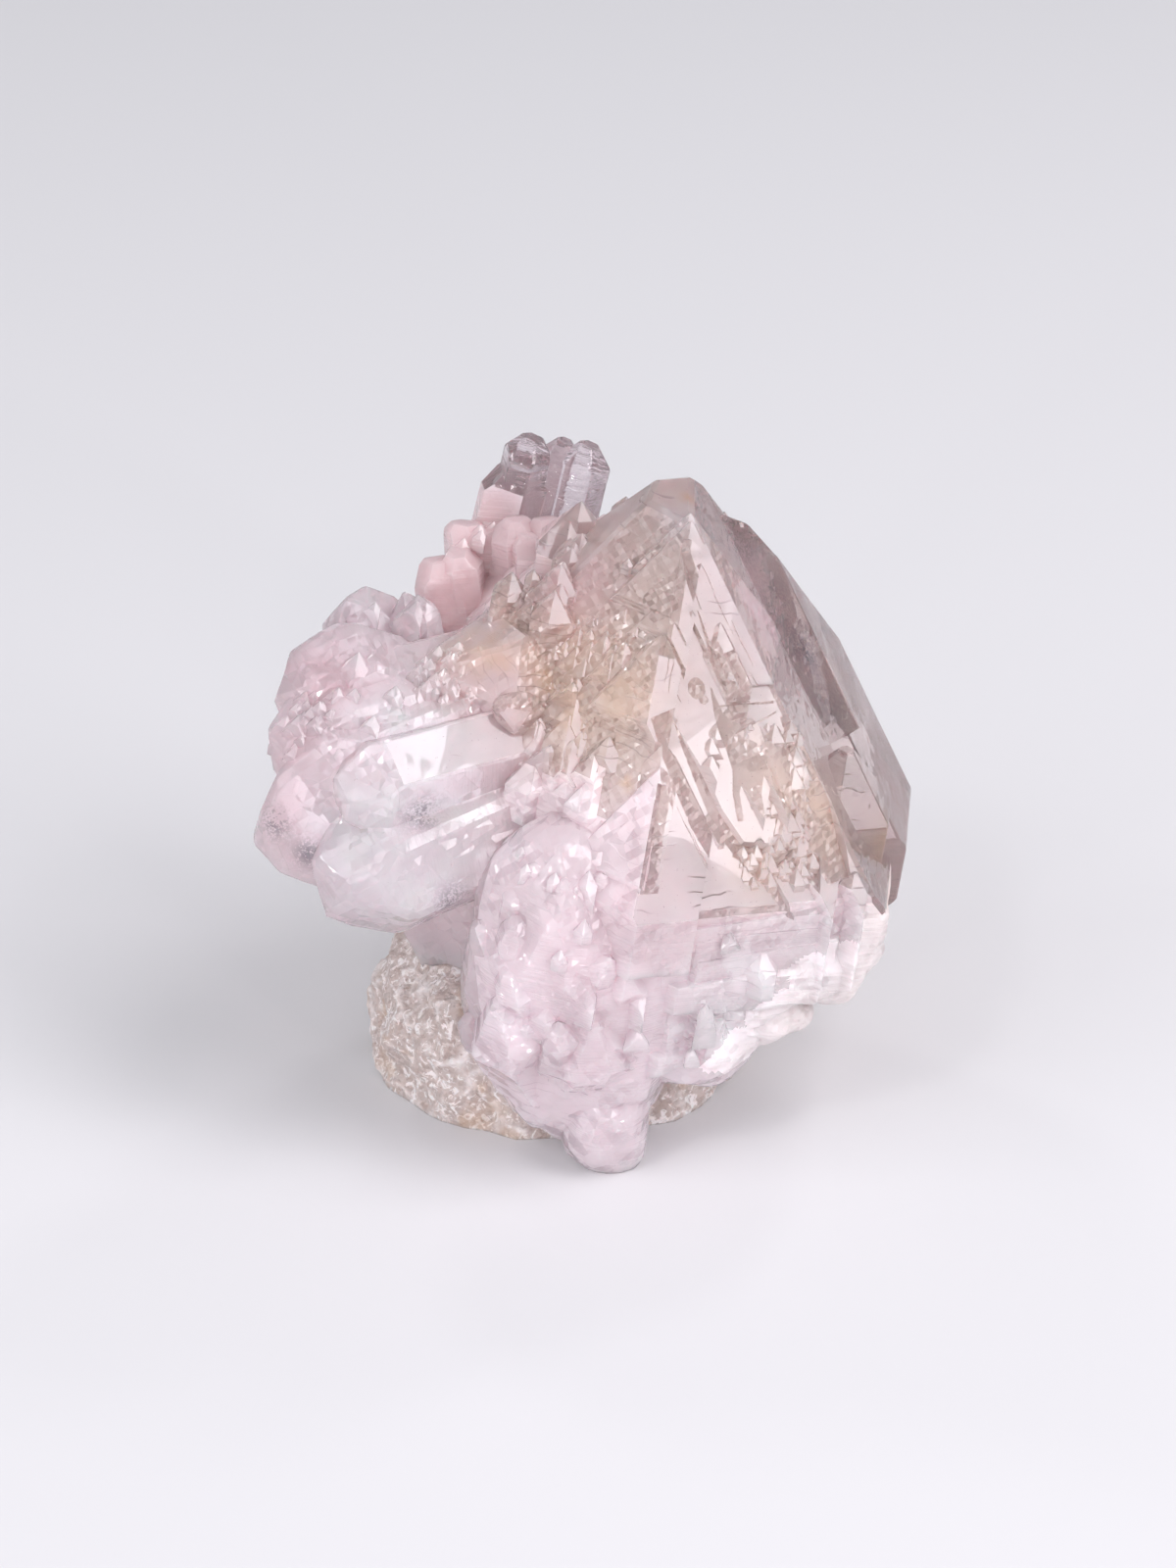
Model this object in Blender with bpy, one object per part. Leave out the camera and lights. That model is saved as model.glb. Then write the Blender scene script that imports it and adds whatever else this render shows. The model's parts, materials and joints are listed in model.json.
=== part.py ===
"""Elestial rose quartz: quartz crystals grown together on a lump of pale host rock.

Distances are millimetres of the real specimen, and MM turns them into metres at the end. X is to the right, Y goes
away from the front, Z is up, and the specimen stands on the flat broken base of its rock. Edges shorter than SLIVER
are closed up.
"""

import math
import random

import bmesh
import bpy
from mathutils import Matrix, Vector, noise

MM = 0.001
SLIVER = 0.02

# Quartz always keeps its angles: six prism sides, and pyramid faces 51.8 degrees from level.
SIDES = 6
PYRAMID_SLOPE = math.radians(51.8)

# The main point: where its pyramid faces would meet, how it leans (azimuth and elevation of its long axis), how far
# it is turned, how far each side is from the axis, and how far each pyramid face stands out along the axis.
MAIN_TIP = (8.8, 6.5, 63.2)
MAIN_LEAN = (90, 82)
MAIN_TURN = -66
MAIN_FLATS = (28.6, 28, 21, 19, 21, 21.5)
MAIN_STEPS = (2.5, 0, 6, 3, 0.4, 0)
MAIN_LENGTH = 70
FRONT, RIGHT, BACK_RIGHT, BACK_LEFT, LEFT, FRONT_LEFT = range(SIDES)

# The rock: its middle, its half sizes, and the free gap between it and the crystals that grew on it.
ROCK_MIDDLE = (-3.4, 0.5, 4.5)
ROCK_HALF = (19, 16.6, 13.5)
ROCK_ROUGH = 1.7
ROCK_UPRIGHT = 3.2
ROCK_GRAIN = 6
ROCK_GAP = 0.35

# The pink overgrowth that hangs down the front.
MASS_MIDDLE = (-1.0, -15.2, 18.5)
MASS_HALF = (11.6, 10.6, 18.5)


def direction(azimuth, elevation):
    """Unit vector: azimuth 0 comes to the front and 90 goes right, in degrees."""
    a, e = math.radians(azimuth), math.radians(elevation)
    return Vector((math.sin(a) * math.cos(e), -math.cos(a) * math.cos(e), math.sin(e)))


def growth_axes(lean, turn):
    """Rotation of an upright crystal that is turned about its own axis and then leant over."""
    tilt = Vector((0, 0, 1)).rotation_difference(direction(*lean)).to_matrix()
    return tilt @ Matrix.Rotation(math.radians(turn), 3, "Z")


def around(side):
    """Rotation about an upright crystal's axis to one of its six sides."""
    return Matrix.Rotation(math.tau * side / SIDES, 3, "Z")


def on_main(side, across, down, out):
    """A place on a pyramid face of the main point, moved out from it at right angles."""
    axes = growth_axes(MAIN_LEAN, MAIN_TURN) @ around(side)
    level, steep = math.cos(PYRAMID_SLOPE), math.sin(PYRAMID_SLOPE)
    face, fall = Vector((steep, 0, level)), Vector((level, 0, -steep))
    start = MAIN_STEPS[side] * level + out
    return Vector(MAIN_TIP) + axes @ (start * face + down * fall + across * Vector((0, -1, 0)))


def carve(bm, point, normal):
    """Cuts a convex body by a plane and closes the cut, keeping the side away from the normal."""
    geometry = bm.verts[:] + bm.edges[:] + bm.faces[:]
    cut = bmesh.ops.bisect_plane(
        bm, geom=geometry, dist=1e-6, plane_co=point, plane_no=normal, clear_outer=True
    )
    rim = [g for g in cut["geom_cut"] if isinstance(g, bmesh.types.BMEdge)]
    if rim:
        bmesh.ops.contextual_create(bm, geom=rim)


def wear_edges(bm, width):
    """Rubs every edge of a convex body down to a narrow flat of about the given width."""
    bm.normal_update()
    worn = []
    for edge in bm.edges:
        first, second = (face.normal.copy() for face in edge.link_faces)
        turn = first.angle(second)
        facing = (first + second).normalized()
        middle = (edge.verts[0].co + edge.verts[1].co) / 2
        worn.append((middle - facing * (width / 2 * math.tan(turn / 2)), facing))
    for place, facing in worn:
        carve(bm, place, facing)


def as_operand(name, bm, collection):
    """Hides a finished body away as one that is joined to others or cut out of them."""
    bmesh.ops.recalc_face_normals(bm, faces=bm.faces[:])
    if bm.calc_volume(signed=True) < 0:
        bmesh.ops.reverse_faces(bm, faces=bm.faces[:])
    mesh = bpy.data.meshes.new(name)
    bm.to_mesh(mesh)
    bm.free()
    made = bpy.data.objects.new(name, mesh)
    made.hide_render = True
    made.display_type = "WIRE"
    collection.objects.link(made)
    return made


def quartz_point(name, tip, lean, turn, flats, length, steps=(0,), blunt=0.3, worn=0.0, family=None):
    """One crystal, cut face by face from a block and added to its family of grown crystals.

    tip is where its pyramid faces meet, flats are the distances of its sides from its axis, steps are how far its
    pyramid faces stand out along the axis, blunt is what is missing at the tip, and worn is the width of its edges.
    """
    flats = [flats] * SIDES if isinstance(flats, (int, float)) else list(flats)
    steps = [steps[side % len(steps)] for side in range(SIDES)]
    bm = bmesh.new()
    bmesh.ops.create_cube(bm, size=4 * (max(flats) + length))
    slope = Vector((math.sin(PYRAMID_SLOPE), 0, math.cos(PYRAMID_SLOPE)))
    for side in range(SIDES):
        carve(bm, around(side) @ Vector((flats[side], 0, 0)), around(side) @ Vector((1, 0, 0)))
        carve(bm, Vector((0, 0, steps[side])), around(side) @ slope)
    carve(bm, Vector((0, 0, -length)), Vector((0, 0, -1)))
    carve(bm, Vector((0, 0, -blunt)), Vector((0.12, -0.08, 1)))
    placed = Matrix.Translation(Vector(tip)) @ growth_axes(lean, turn).to_4x4()
    bm.transform(placed)
    if worn:
        wear_edges(bm, worn)
    return as_operand(name, bm, family or grown)


def twin_point(name, side, across, down, out, flats, length=9, blunt=0.1, worn=0.0):
    """A small crystal in parallel with the main point, standing out of one of its pyramid faces."""
    return quartz_point(name, on_main(side, across, down, out), MAIN_LEAN, MAIN_TURN, flats, length,
                        blunt=blunt, worn=worn, family=parallel)


def twin_field(name, side, across, down, count, sizes, seed):
    """Many small parallel crystals on one pyramid face, within a span across it and a span down it."""
    dice = random.Random(seed)
    for index in range(count):
        size = dice.uniform(*sizes)
        flats = [size * dice.uniform(0.6, 1.3) for _ in range(SIDES)]
        twin_point(f"{name}_{index:02d}", side, dice.uniform(*across), dice.uniform(*down),
                   dice.uniform(0.3, 0.45 + 0.22 * size), flats, length=2.5 + 2 * size)


def lump(name, middle, half, rough, grain, seed, detail, collection, gap=0.0, upright=2.0):
    """A rough rounded body: a ball stretched to its half sizes, uneven by rough millimetres, grown by gap.

    upright above 2 makes its sides stand steeper and its top flatter.
    """
    bm = bmesh.new()
    bmesh.ops.create_icosphere(bm, subdivisions=detail, radius=1)
    shift = Vector((seed, 2.3 * seed, -1.7 * seed))
    for v in bm.verts:
        ray = v.co.normalized()
        level = math.hypot(ray.x, ray.y)
        fuller = (1 - min(1, abs(ray.z)) ** upright) ** (1 / upright) / max(level, 1e-6)
        ray = Vector((ray.x * fuller, ray.y * fuller, ray.z))
        place = Vector(middle) + Vector([h * r for h, r in zip(half, ray)])
        swell = noise.fractal(place / grain + shift, 0.9, 2.1, 3)
        outward = Vector([r / h for r, h in zip(ray, half)]).normalized()
        v.co = place + outward * (swell * rough + gap)
    return as_operand(name, bm, collection)


def on_ball(middle, half, azimuth, elevation, out):
    """A place on a stretched ball in a given direction, moved out from its middle."""
    ray = direction(azimuth, elevation)
    return Vector(middle) + Vector([(h + out) * r for h, r in zip(half, ray)])


# Collections
for old in list(bpy.data.objects):
    bpy.data.objects.remove(old, do_unlink=True)
specimen = bpy.data.collections.new("elestial_rose_quartz")
parallel = bpy.data.collections.new("parallel_crystals")
grown = bpy.data.collections.new("other_crystals")
breaks = bpy.data.collections.new("breaks")
for group in (specimen, parallel, grown, breaks):
    bpy.context.scene.collection.children.link(group)


# Main point
def main_point():
    """The large smoky point, and the parallel individual behind its right shoulder."""
    quartz_point("main", MAIN_TIP, MAIN_LEAN, MAIN_TURN, MAIN_FLATS, MAIN_LENGTH,
                 steps=MAIN_STEPS, blunt=2.6, worn=0.8, family=parallel)
    quartz_point("shoulder", (13.2, 10.4, 58.6), MAIN_LEAN, MAIN_TURN, (20, 24.8, 17, 12, 12, 12), 50,
                 steps=(-4, 1, 4, 0, 0, 0), blunt=2.2, worn=0.4, family=parallel)
    quartz_point("clear_flank", (26.2, -1.5, 37.5), MAIN_LEAN, MAIN_TURN, (5.6, 5.4, 8, 9, 9, 6), 30,
                 blunt=0.8, worn=0.2, family=parallel)


# Plates of the front face
def front_plates():
    """Steps of parallel growth on the front pyramid face: thin plates with slanted sides and level lower ends."""
    twin_point("plate_top", FRONT, 0.1, 4.3, 0.5, (11.2, 12, 12, 12, 12, 4.6), length=14)
    twin_point("plate_top_left", FRONT, 0.3, 5.2, 0.95, (8.6, 1.6, 12, 12, 12, 6), length=12)
    twin_point("plate_middle", FRONT, 2.6, 11.5, 0.7, (12.6, 2.1, 12, 12, 12, 3.2), length=16)
    twin_point("plate_left", FRONT, 5.3, 16.4, 1.1, (6.6, 2.4, 10, 10, 10, 5.5), length=12)
    twin_point("plate_slot", FRONT, -1.2, 15.6, 0.9, (5.6, 4.2, 8, 8, 8, 2.4), length=10)
    twin_point("plate_low", FRONT, 6.9, 27.2, 1.1, (10.9, 6.2, 14, 14, 14, 10.4), length=20)
    twin_point("plate_low_edge", FRONT, 7.7, 29.6, 1.6, (7.2, 1.7, 9, 9, 9, 7.2), length=14)
    twin_point("plate_rough", FRONT, -3.2, 25.2, 0.8, (8.6, 3, 8, 8, 8, 3.4), length=12)
    twin_point("plate_rough_edge", FRONT, -4.6, 27.6, 1.3, (5.8, 3.2, 6, 6, 6, 1.8), length=10)
    twin_point("plate_right", FRONT, -6.8, 27.4, 0.6, (9.6, 6, 8, 8, 8, 2), length=12)
    twin_point("corner_large", FRONT, -8.4, 37.4, 0.8, (6.6, 3, 6, 6, 6, 2.4), length=24)
    twin_point("corner_small", FRONT, -11.8, 41.2, 1.3, (3.2, 1.7, 3, 3, 3, 1.3), length=20)
    twin_point("corner_sliver", FRONT, -10.3, 37.2, 1.1, (3.6, 1.2, 3, 3, 3, 0.9), length=20)
    twin_field("glitter", FRONT, (-6.5, 2.5), (24, 38), 9, (0.8, 1.7), 5)


# Ledges of the front sides
def front_ledges():
    """Level ledges below the plates, where the sides of the crystal grew in turns with its pyramid faces."""
    dice = random.Random(11)
    axis = direction(*MAIN_LEAN)
    steep = math.tan(PYRAMID_SLOPE)
    top = MAIN_FLATS[FRONT] * steep - MAIN_STEPS[FRONT]
    for index in range(12):
        drop = top + 0.9 + 1.6 * index
        reach = MAIN_FLATS[FRONT] + dice.uniform(-0.1, 1.1)
        flats = (reach, 22 + dice.uniform(-3, 3), 9, 9, 9, 20 + dice.uniform(-1.5, 2))
        tip = Vector(MAIN_TIP) + axis * (reach * steep - drop)
        quartz_point(f"ledge_{index:02d}", tip, MAIN_LEAN, MAIN_TURN, flats, reach * steep + 3 + 0.13 * index,
                     blunt=reach * steep - dice.uniform(2, 5), family=parallel)


# Stepped zone left of the front ridge
def stepped_zone():
    """The tan zone of many small parallel points on the left front face, and those on the hidden faces."""
    twin_point("bar", FRONT_LEFT, 6.4, 12.6, 0.5, (5, 6, 6, 6, 1.6, 1.4), length=8)
    twin_field("left_front", FRONT_LEFT, (-9, 11), (14, 33), 34, (1.1, 3.2), 3)
    twin_field("left_front_low", FRONT_LEFT, (-12, 6), (26, 33), 8, (1.8, 3.6), 8)
    twin_field("left_side", LEFT, (-9, 8), (14, 28), 8, (1.5, 3.2), 4)
    twin_field("back_left", BACK_LEFT, (-8, 8), (9, 24), 11, (1.6, 4.2), 6)
    twin_field("back_right", BACK_RIGHT, (-9, 4), (12, 26), 12, (1.6, 3.6), 7)
    twin_field("right_low", RIGHT, (-12, 2), (32, 40), 6, (1.0, 2.4), 9)


# Fan of points on the left
def left_fan():
    """The points that lie out to the left: one with a broad flat side, blunt lobes around it, and small uprights."""
    lump("fan_bed", (-17.5, 1.5, 35.5), (10.5, 9.5, 9), 1.2, 6, 4, 3, grown)
    quartz_point("flat_sided", (-25.6, -15.2, 38.2), (-61, -1.5), -12, (4.7, 4.5, 4.2, 4.6, 4.8, 4.6), 30,
                 steps=(0, 1, 0, 0, 2, 1), blunt=1.2, worn=0.35)
    quartz_point("low_lobe", (-27.6, -18.6, 28.4), (-58, -9), 14, (6.2, 6.6, 5.8, 6, 6.4, 6), 28,
                 steps=(0, 2, 1, 3, 0, 1.5), blunt=2.6, worn=1.1)
    quartz_point("great_lobe", (-35.6, -12.4, 32.6), (-62, -10), 20, (8.8, 9.6, 9, 9.2, 9.4, 9), 36,
                 steps=(0, -3, 1, 2, 3, -2), blunt=3.5, worn=1.0)
    quartz_point("great_lobe_top", (-32.8, -9, 39.2), (-62, -2), 12, (6.6, 7, 6.4, 6.6, 6.8, 6.6), 30,
                 steps=(0, 1.5, 0, 1, 2, 0), blunt=2.2, worn=0.8)
    quartz_point("upper_lobe", (-31.6, -4.4, 46.6), (-64, 26), 8, (6.2, 6.4, 6, 6.2, 6.2, 6), 30,
                 steps=(0, 1.4, 0, 2, 0, 1), blunt=2.4, worn=0.8)
    quartz_point("upper_lobe_front", (-25.6, -7.6, 43.6), (-58, 34), 8, (3.4, 3, 3.6, 3.2, 3, 3.4), 16,
                 blunt=0.8, worn=0.3)
    quartz_point("inner_lobe", (-17.5, -4.5, 47), (-66, 24), 28, (7.2, 7.5, 7, 7.4, 7, 7.2), 26,
                 steps=(0, 1.2, 0, 1.8, 0, 0.6), blunt=2, worn=0.8)
    quartz_point("smoky_upright", (-23.2, 7, 50.6), (-40, 74), 6, (4.4, 4, 4.2, 4.6, 4.2, 4.4), 15,
                 steps=(0, 1, 0.3, 0.8, 0, 0.5), blunt=1.1, worn=0.35)
    quartz_point("star_upright", (-17.1, 4.6, 51.2), (-30, 80), 20, 1.9, 14, blunt=0.2, worn=0.12)
    quartz_point("dark_upright", (-18.6, 6.6, 50.6), (-80, 76), -10, 2.4, 14, blunt=0.3, worn=0.12)
    quartz_point("bubble", (-9.4, -8.8, 45.6), (-50, 35), 0, (2.4, 2, 2.6, 2.2, 2.4, 2.2), 8,
                 blunt=0.9, worn=0.5)
    dice = random.Random(21)
    for index in range(16):
        tip = on_ball((-22, -3, 38), (8, 8, 8), dice.uniform(-75, 5), dice.uniform(5, 50), 0.8)
        quartz_point(f"lobe_step_{index:02d}", tip, (-62, 28), 8, dice.uniform(1.1, 2.4), 9, blunt=0.2)


# Pink overgrowth
def pink_mass():
    """The smooth pink body on the front, which ends below in a blunt tongue, with small faces all over it."""
    lump("mass", MASS_MIDDLE, MASS_HALF, 1.3, 8, 3, 3, grown)
    lump("mass_left", (-5.6, -11.5, 16.5), (7, 8.5, 12.5), 1.1, 6, 5, 3, grown)
    lump("tongue", (1.8, -20.2, 5), (4.4, 4.4, 7.4), 0.6, 4, 9, 3, grown)
    lump("right_foot", (9.5, -15.5, 12.5), (8, 6.5, 6), 0.9, 5, 2, 3, grown)
    dice = random.Random(17)
    for index in range(30):
        facing = (dice.uniform(-68, 42), dice.uniform(-16, 62))
        tip = on_ball(MASS_MIDDLE, MASS_HALF, *facing, dice.uniform(0.5, 1.3))
        size = dice.uniform(2, 4.2)
        flats = [size * dice.uniform(0.6, 1.2) for _ in range(SIDES)]
        lean = (facing[0] * 0.8 + dice.uniform(-12, 12), dice.uniform(40, 66))
        quartz_point(f"mass_face_{index:02d}", tip, lean, MAIN_TURN + dice.uniform(-12, 12), flats,
                     5 + 2 * size, blunt=dice.uniform(0.3, 0.9))


# Tuft behind
def back_tuft():
    """The deeper pink points behind on the left, and the clear three-tipped crystal above them."""
    lump("tuft_bed", (-5.5, 17.5, 35), (11, 7.6, 13.5), 1.2, 6, 7, 3, grown)
    dice = random.Random(31)
    for index in range(15):
        across = index / 14
        tip = (-15 + 18.5 * across + dice.uniform(-0.6, 0.6), 19.5 + dice.uniform(-3.5, 3.5),
               49.6 + 3.8 * math.sin(math.pi * (0.1 + 0.8 * across)) + dice.uniform(-0.9, 0.9))
        flats = [dice.uniform(1.9, 3.1) for _ in range(SIDES)]
        quartz_point(f"tuft_{index:02d}", tip, (200 + dice.uniform(-50, 40), dice.uniform(70, 82)),
                     dice.uniform(-30, 30), flats, 17, steps=[dice.uniform(0, 1.2) for _ in range(SIDES)],
                     blunt=dice.uniform(0.6, 1.2))
    clear_lean = (96, 77)
    quartz_point("clear_left", (-5.4, 25, 61), clear_lean, 10, (2.6, 2.5, 2.6, 2.4, 2.9, 2.6), 22,
                 blunt=1.4, worn=0.3)
    quartz_point("clear_middle", (-2.2, 25.6, 60), clear_lean, 10, (2.2, 2.4, 2.4, 2.4, 2.4, 2.2), 22,
                 blunt=0.9, worn=0.25)
    quartz_point("clear_right", (0.4, 24.6, 60.2), clear_lean, 10, (2.5, 2.3, 2.5, 2.5, 2.5, 2.6), 22,
                 blunt=1.2, worn=0.3)
    quartz_point("clear_base", (-5.6, 25.2, 59), clear_lean, 10, (3.4, 5.6, 2.9, 4.4, 3.6, 3), 20,
                 blunt=3.6, worn=0.25)


# Crust
def crust():
    """The white broken crust along the lower right edge, rough like the breaks under the specimen."""
    lump("crust_low", (17.2, -13.6, 13.6), (5.6, 4.4, 2.6), 0.7, 2.4, 4, 3, grown)
    lump("crust_middle", (22.4, -11.2, 16.4), (5.6, 4.6, 2.6), 0.7, 2.4, 6, 3, grown)
    lump("crust_high", (26.6, -8.6, 18.6), (3.8, 4.6, 2.4), 0.7, 2.4, 8, 3, grown)


# Joining
def cutting_block(name, place, faces):
    """A block that fills the space beyond a flat break."""
    size = 200
    bm = bmesh.new()
    bmesh.ops.create_cube(bm, size=size)
    bm.transform(Matrix.Translation((0, 0, size / 2)))
    tilt = Vector((0, 0, 1)).rotation_difference(Vector(faces)).to_matrix().to_4x4()
    bm.transform(Matrix.Translation(Vector(place)) @ tilt)
    return as_operand(name, bm, breaks)


def finished(name, body, steps):
    """Runs the Boolean steps on a body, keeps the result as a named object in metres, and returns it."""
    made = bpy.data.objects.new(name, body.data.copy())
    specimen.objects.link(made)
    for operation, operand in steps:
        step = made.modifiers.new("step", "BOOLEAN")
        step.operation = operation
        step.solver = "EXACT"
        if isinstance(operand, bpy.types.Collection):
            step.operand_type = "COLLECTION"
            step.collection = operand
        else:
            step.object = operand
    depsgraph = bpy.context.evaluated_depsgraph_get()
    solid = bpy.data.meshes.new_from_object(made.evaluated_get(depsgraph))
    made.modifiers.clear()
    bm = bmesh.new()
    bm.from_mesh(solid)
    bmesh.ops.transform(bm, matrix=Matrix.Scale(MM, 4), verts=bm.verts[:])
    bmesh.ops.triangulate(bm, faces=bm.faces[:])
    bmesh.ops.remove_doubles(bm, verts=bm.verts[:], dist=SLIVER * MM)
    bmesh.ops.dissolve_degenerate(bm, edges=bm.edges[:], dist=SLIVER * MM)
    bm.to_mesh(made.data)
    bm.free()
    return made


def plain_material(name, colour, roughness):
    """A plain opaque surface of one colour."""
    made = bpy.data.materials.new(name)
    made.use_nodes = True
    surface = made.node_tree.nodes["Principled BSDF"]
    surface.inputs["Base Color"].default_value = (*colour, 1)
    surface.inputs["Roughness"].default_value = roughness
    return made


def rose_quartz(floor_cut, rock_room):
    """All the crystals, which grew together into one body."""
    main_point()
    front_plates()
    front_ledges()
    stepped_zone()
    left_fan()
    pink_mass()
    back_tuft()
    crust()
    lower_breaks = [
        cutting_block("right_low", (15.3, -16, 9.5), (0.56, -0.08, -0.82)),
        cutting_block("right_edge", (30, -8, 17.6), (0.33, -0.12, -0.94)),
        cutting_block("left_low", (-11, -12, 5), (-0.85, 0, -0.53)),
        cutting_block("back_low", (0, 19, 8), (0.1, 0.78, -0.62)),
        cutting_block("back_corner", (-9, 13, 7), (-0.55, 0.5, -0.67)),
        cutting_block("back_right_low", (16, 12, 8), (0.5, 0.5, -0.7)),
    ]
    body = parallel.objects["main"]
    parallel.objects.unlink(body)
    steps = [("UNION", parallel)] + [("DIFFERENCE", block) for block in lower_breaks]
    steps += [("UNION", grown), ("DIFFERENCE", rock_room), ("DIFFERENCE", floor_cut)]
    made = finished("rose_quartz", body, steps)
    made.data.materials.clear()
    made.data.materials.append(plain_material("quartz", (0.78, 0.66, 0.70), 0.2))
    return made


def matrix_rock(floor_cut):
    """The lump of host rock with its flat base."""
    body = lump("rock_body", ROCK_MIDDLE, ROCK_HALF, ROCK_ROUGH, ROCK_GRAIN, 1, 4, breaks, upright=ROCK_UPRIGHT)
    made = finished("matrix_rock", body, [("DIFFERENCE", floor_cut)])
    made.data.materials.clear()
    made.data.materials.append(plain_material("host_rock", (0.55, 0.46, 0.40), 0.8))
    return made


floor = cutting_block("floor_cut", (0, 0, 0), (0, 0, -1))
room = lump("rock_room", ROCK_MIDDLE, ROCK_HALF, ROCK_ROUGH, ROCK_GRAIN, 1, 4, breaks, gap=ROCK_GAP,
            upright=ROCK_UPRIGHT)
rose_quartz(floor, room)
matrix_rock(floor)
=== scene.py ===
"""The looks of the elestial rose quartz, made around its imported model.

Sizes in this file are millimetres of the real specimen, and MM turns them into the frame's metres.
"""
import json
import math

import bmesh
import bpy
import numpy as np
from mathutils import Matrix, Vector

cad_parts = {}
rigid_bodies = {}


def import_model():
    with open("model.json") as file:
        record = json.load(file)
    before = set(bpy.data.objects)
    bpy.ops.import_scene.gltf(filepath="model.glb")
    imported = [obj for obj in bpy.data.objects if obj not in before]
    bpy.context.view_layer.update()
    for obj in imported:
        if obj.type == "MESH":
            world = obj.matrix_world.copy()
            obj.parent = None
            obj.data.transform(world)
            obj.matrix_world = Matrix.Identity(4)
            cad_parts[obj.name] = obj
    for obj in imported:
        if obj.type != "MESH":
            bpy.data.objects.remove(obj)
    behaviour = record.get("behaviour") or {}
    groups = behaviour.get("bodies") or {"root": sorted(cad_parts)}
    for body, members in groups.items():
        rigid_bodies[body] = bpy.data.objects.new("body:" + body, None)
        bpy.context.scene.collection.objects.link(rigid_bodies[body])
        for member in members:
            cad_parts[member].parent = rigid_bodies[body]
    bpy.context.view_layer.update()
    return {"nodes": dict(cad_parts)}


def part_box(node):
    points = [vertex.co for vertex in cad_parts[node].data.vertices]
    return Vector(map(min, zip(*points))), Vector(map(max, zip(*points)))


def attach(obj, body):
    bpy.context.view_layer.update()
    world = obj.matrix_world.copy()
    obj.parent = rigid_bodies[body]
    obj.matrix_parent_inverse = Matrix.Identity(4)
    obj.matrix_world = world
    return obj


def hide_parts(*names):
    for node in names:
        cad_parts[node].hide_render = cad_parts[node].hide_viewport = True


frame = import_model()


# The grown crystals
# Smoky, clear, lilac and pink quartz that grew as one body on the rock: a large stepped point, a fan of
# points on its left, an overgrowth in front and a tuft behind. One lattice runs through it, so the small
# crystals that stud it stand parallel with the large point, and their faces catch the light together.
MM = 0.001
SIDES = 6
# How steeply the pyramid faces of quartz rise above the plane across the crystal.
STEEP = math.tan(math.radians(51.8))
# The large point as its solid has it: its tip, lean and turn, and how far each pyramid face is stepped up.
MAIN_TIP = np.array((8.8, 6.5, 63.2))
MAIN_LEAN = (90, 82)
MAIN_TURN = -66
MAIN_STEPS = (2.5, 0, 6, 3, 0.4, 0)
FRONT, RIGHT, BACK_RIGHT, BACK_LEFT, LEFT, FRONT_LEFT = range(SIDES)


def direction(azimuth, elevation):
    """Unit vector: azimuth 0 comes to the front and 90 goes right, in degrees."""
    a, e = math.radians(azimuth), math.radians(elevation)
    return Vector((math.sin(a) * math.cos(e), -math.cos(a) * math.cos(e), math.sin(e)))


def growth_axes(lean, turn):
    """Columns are the axes of an upright crystal turned about its own axis and then leant over."""
    tilt = Vector((0, 0, 1)).rotation_difference(direction(*lean)).to_matrix()
    return np.array(tilt @ Matrix.Rotation(math.radians(turn), 3, "Z"))


MAIN_AXES = growth_axes(MAIN_LEAN, MAIN_TURN)


def face_axes(side):
    """Across, fall and outward directions of one pyramid face of the large point, as rows."""
    a = math.tau * side / SIDES
    level, steep = math.cos(math.atan(STEEP)), math.sin(math.atan(STEEP))
    around = np.array(((math.cos(a), -math.sin(a), 0), (math.sin(a), math.cos(a), 0), (0, 0, 1)))
    local = np.array(((0, -1, 0), (level, 0, -steep), (steep, 0, level)))
    return local @ around.T @ MAIN_AXES.T


def on_face(side, across, down, out):
    """Places on a pyramid face: the tip plus so much across, down the fall line and out."""
    axes = face_axes(side)
    base = MAIN_STEPS[side] * math.cos(math.atan(STEEP))
    local = np.stack(np.broadcast_arrays(across, down, base + out), -1)
    return MAIN_TIP + local @ axes


def grown_points(tips, flats, lengths, blunt, axes=MAIN_AXES):
    """Corners and sides of many crystals at once.

    Each crystal is a stack of six-cornered rings at its foot, at the shoulder of each side, and at its
    blunt top. On every ring a side lies at its flat's distance from the axis, or nearer where the pyramid
    has started, and a corner is where the lines of two neighbouring sides cross.
    """
    shoulders = np.sort(-flats * STEEP, 1)
    low = np.minimum(-lengths, shoulders[:, 0] - 0.2)[:, None]
    levels = np.concatenate([low, shoulders, -blunt[:, None]], 1)
    reach = np.minimum(flats[:, None, :], -levels[:, :, None] / STEEP)
    reach = np.minimum(reach, 0.999 * (np.roll(reach, 1, 2) + np.roll(reach, -1, 2)))
    turn = np.arange(SIDES) * math.tau / SIDES
    along = (np.roll(reach, -1, 2) - reach / 2) / math.sin(math.tau / SIDES)
    local = np.stack(np.broadcast_arrays(
        reach * np.cos(turn) - along * np.sin(turn),
        reach * np.sin(turn) + along * np.cos(turn),
        levels[:, :, None],
    ), -1)
    placed = local @ axes.T + tips[:, None, None, :]
    rings = levels.shape[1]
    ring, side = np.arange(rings - 1)[:, None] * SIDES, np.arange(SIDES)
    after = (side + 1) % SIDES
    quads = np.stack([ring + side, ring + after, ring + SIDES + after, ring + SIDES + side], -1)
    caps = [list(range(SIDES - 1, -1, -1)), list(range((rings - 1) * SIDES, rings * SIDES))]
    return placed.reshape(len(tips), -1, 3), quads.reshape(-1, 4).tolist() + caps


# A pyramid face is this much higher, and about this much wider, than its flat is far from the axis.
FACE_HEIGHT = 1.617
FACE_WIDTH = 2.31


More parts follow.
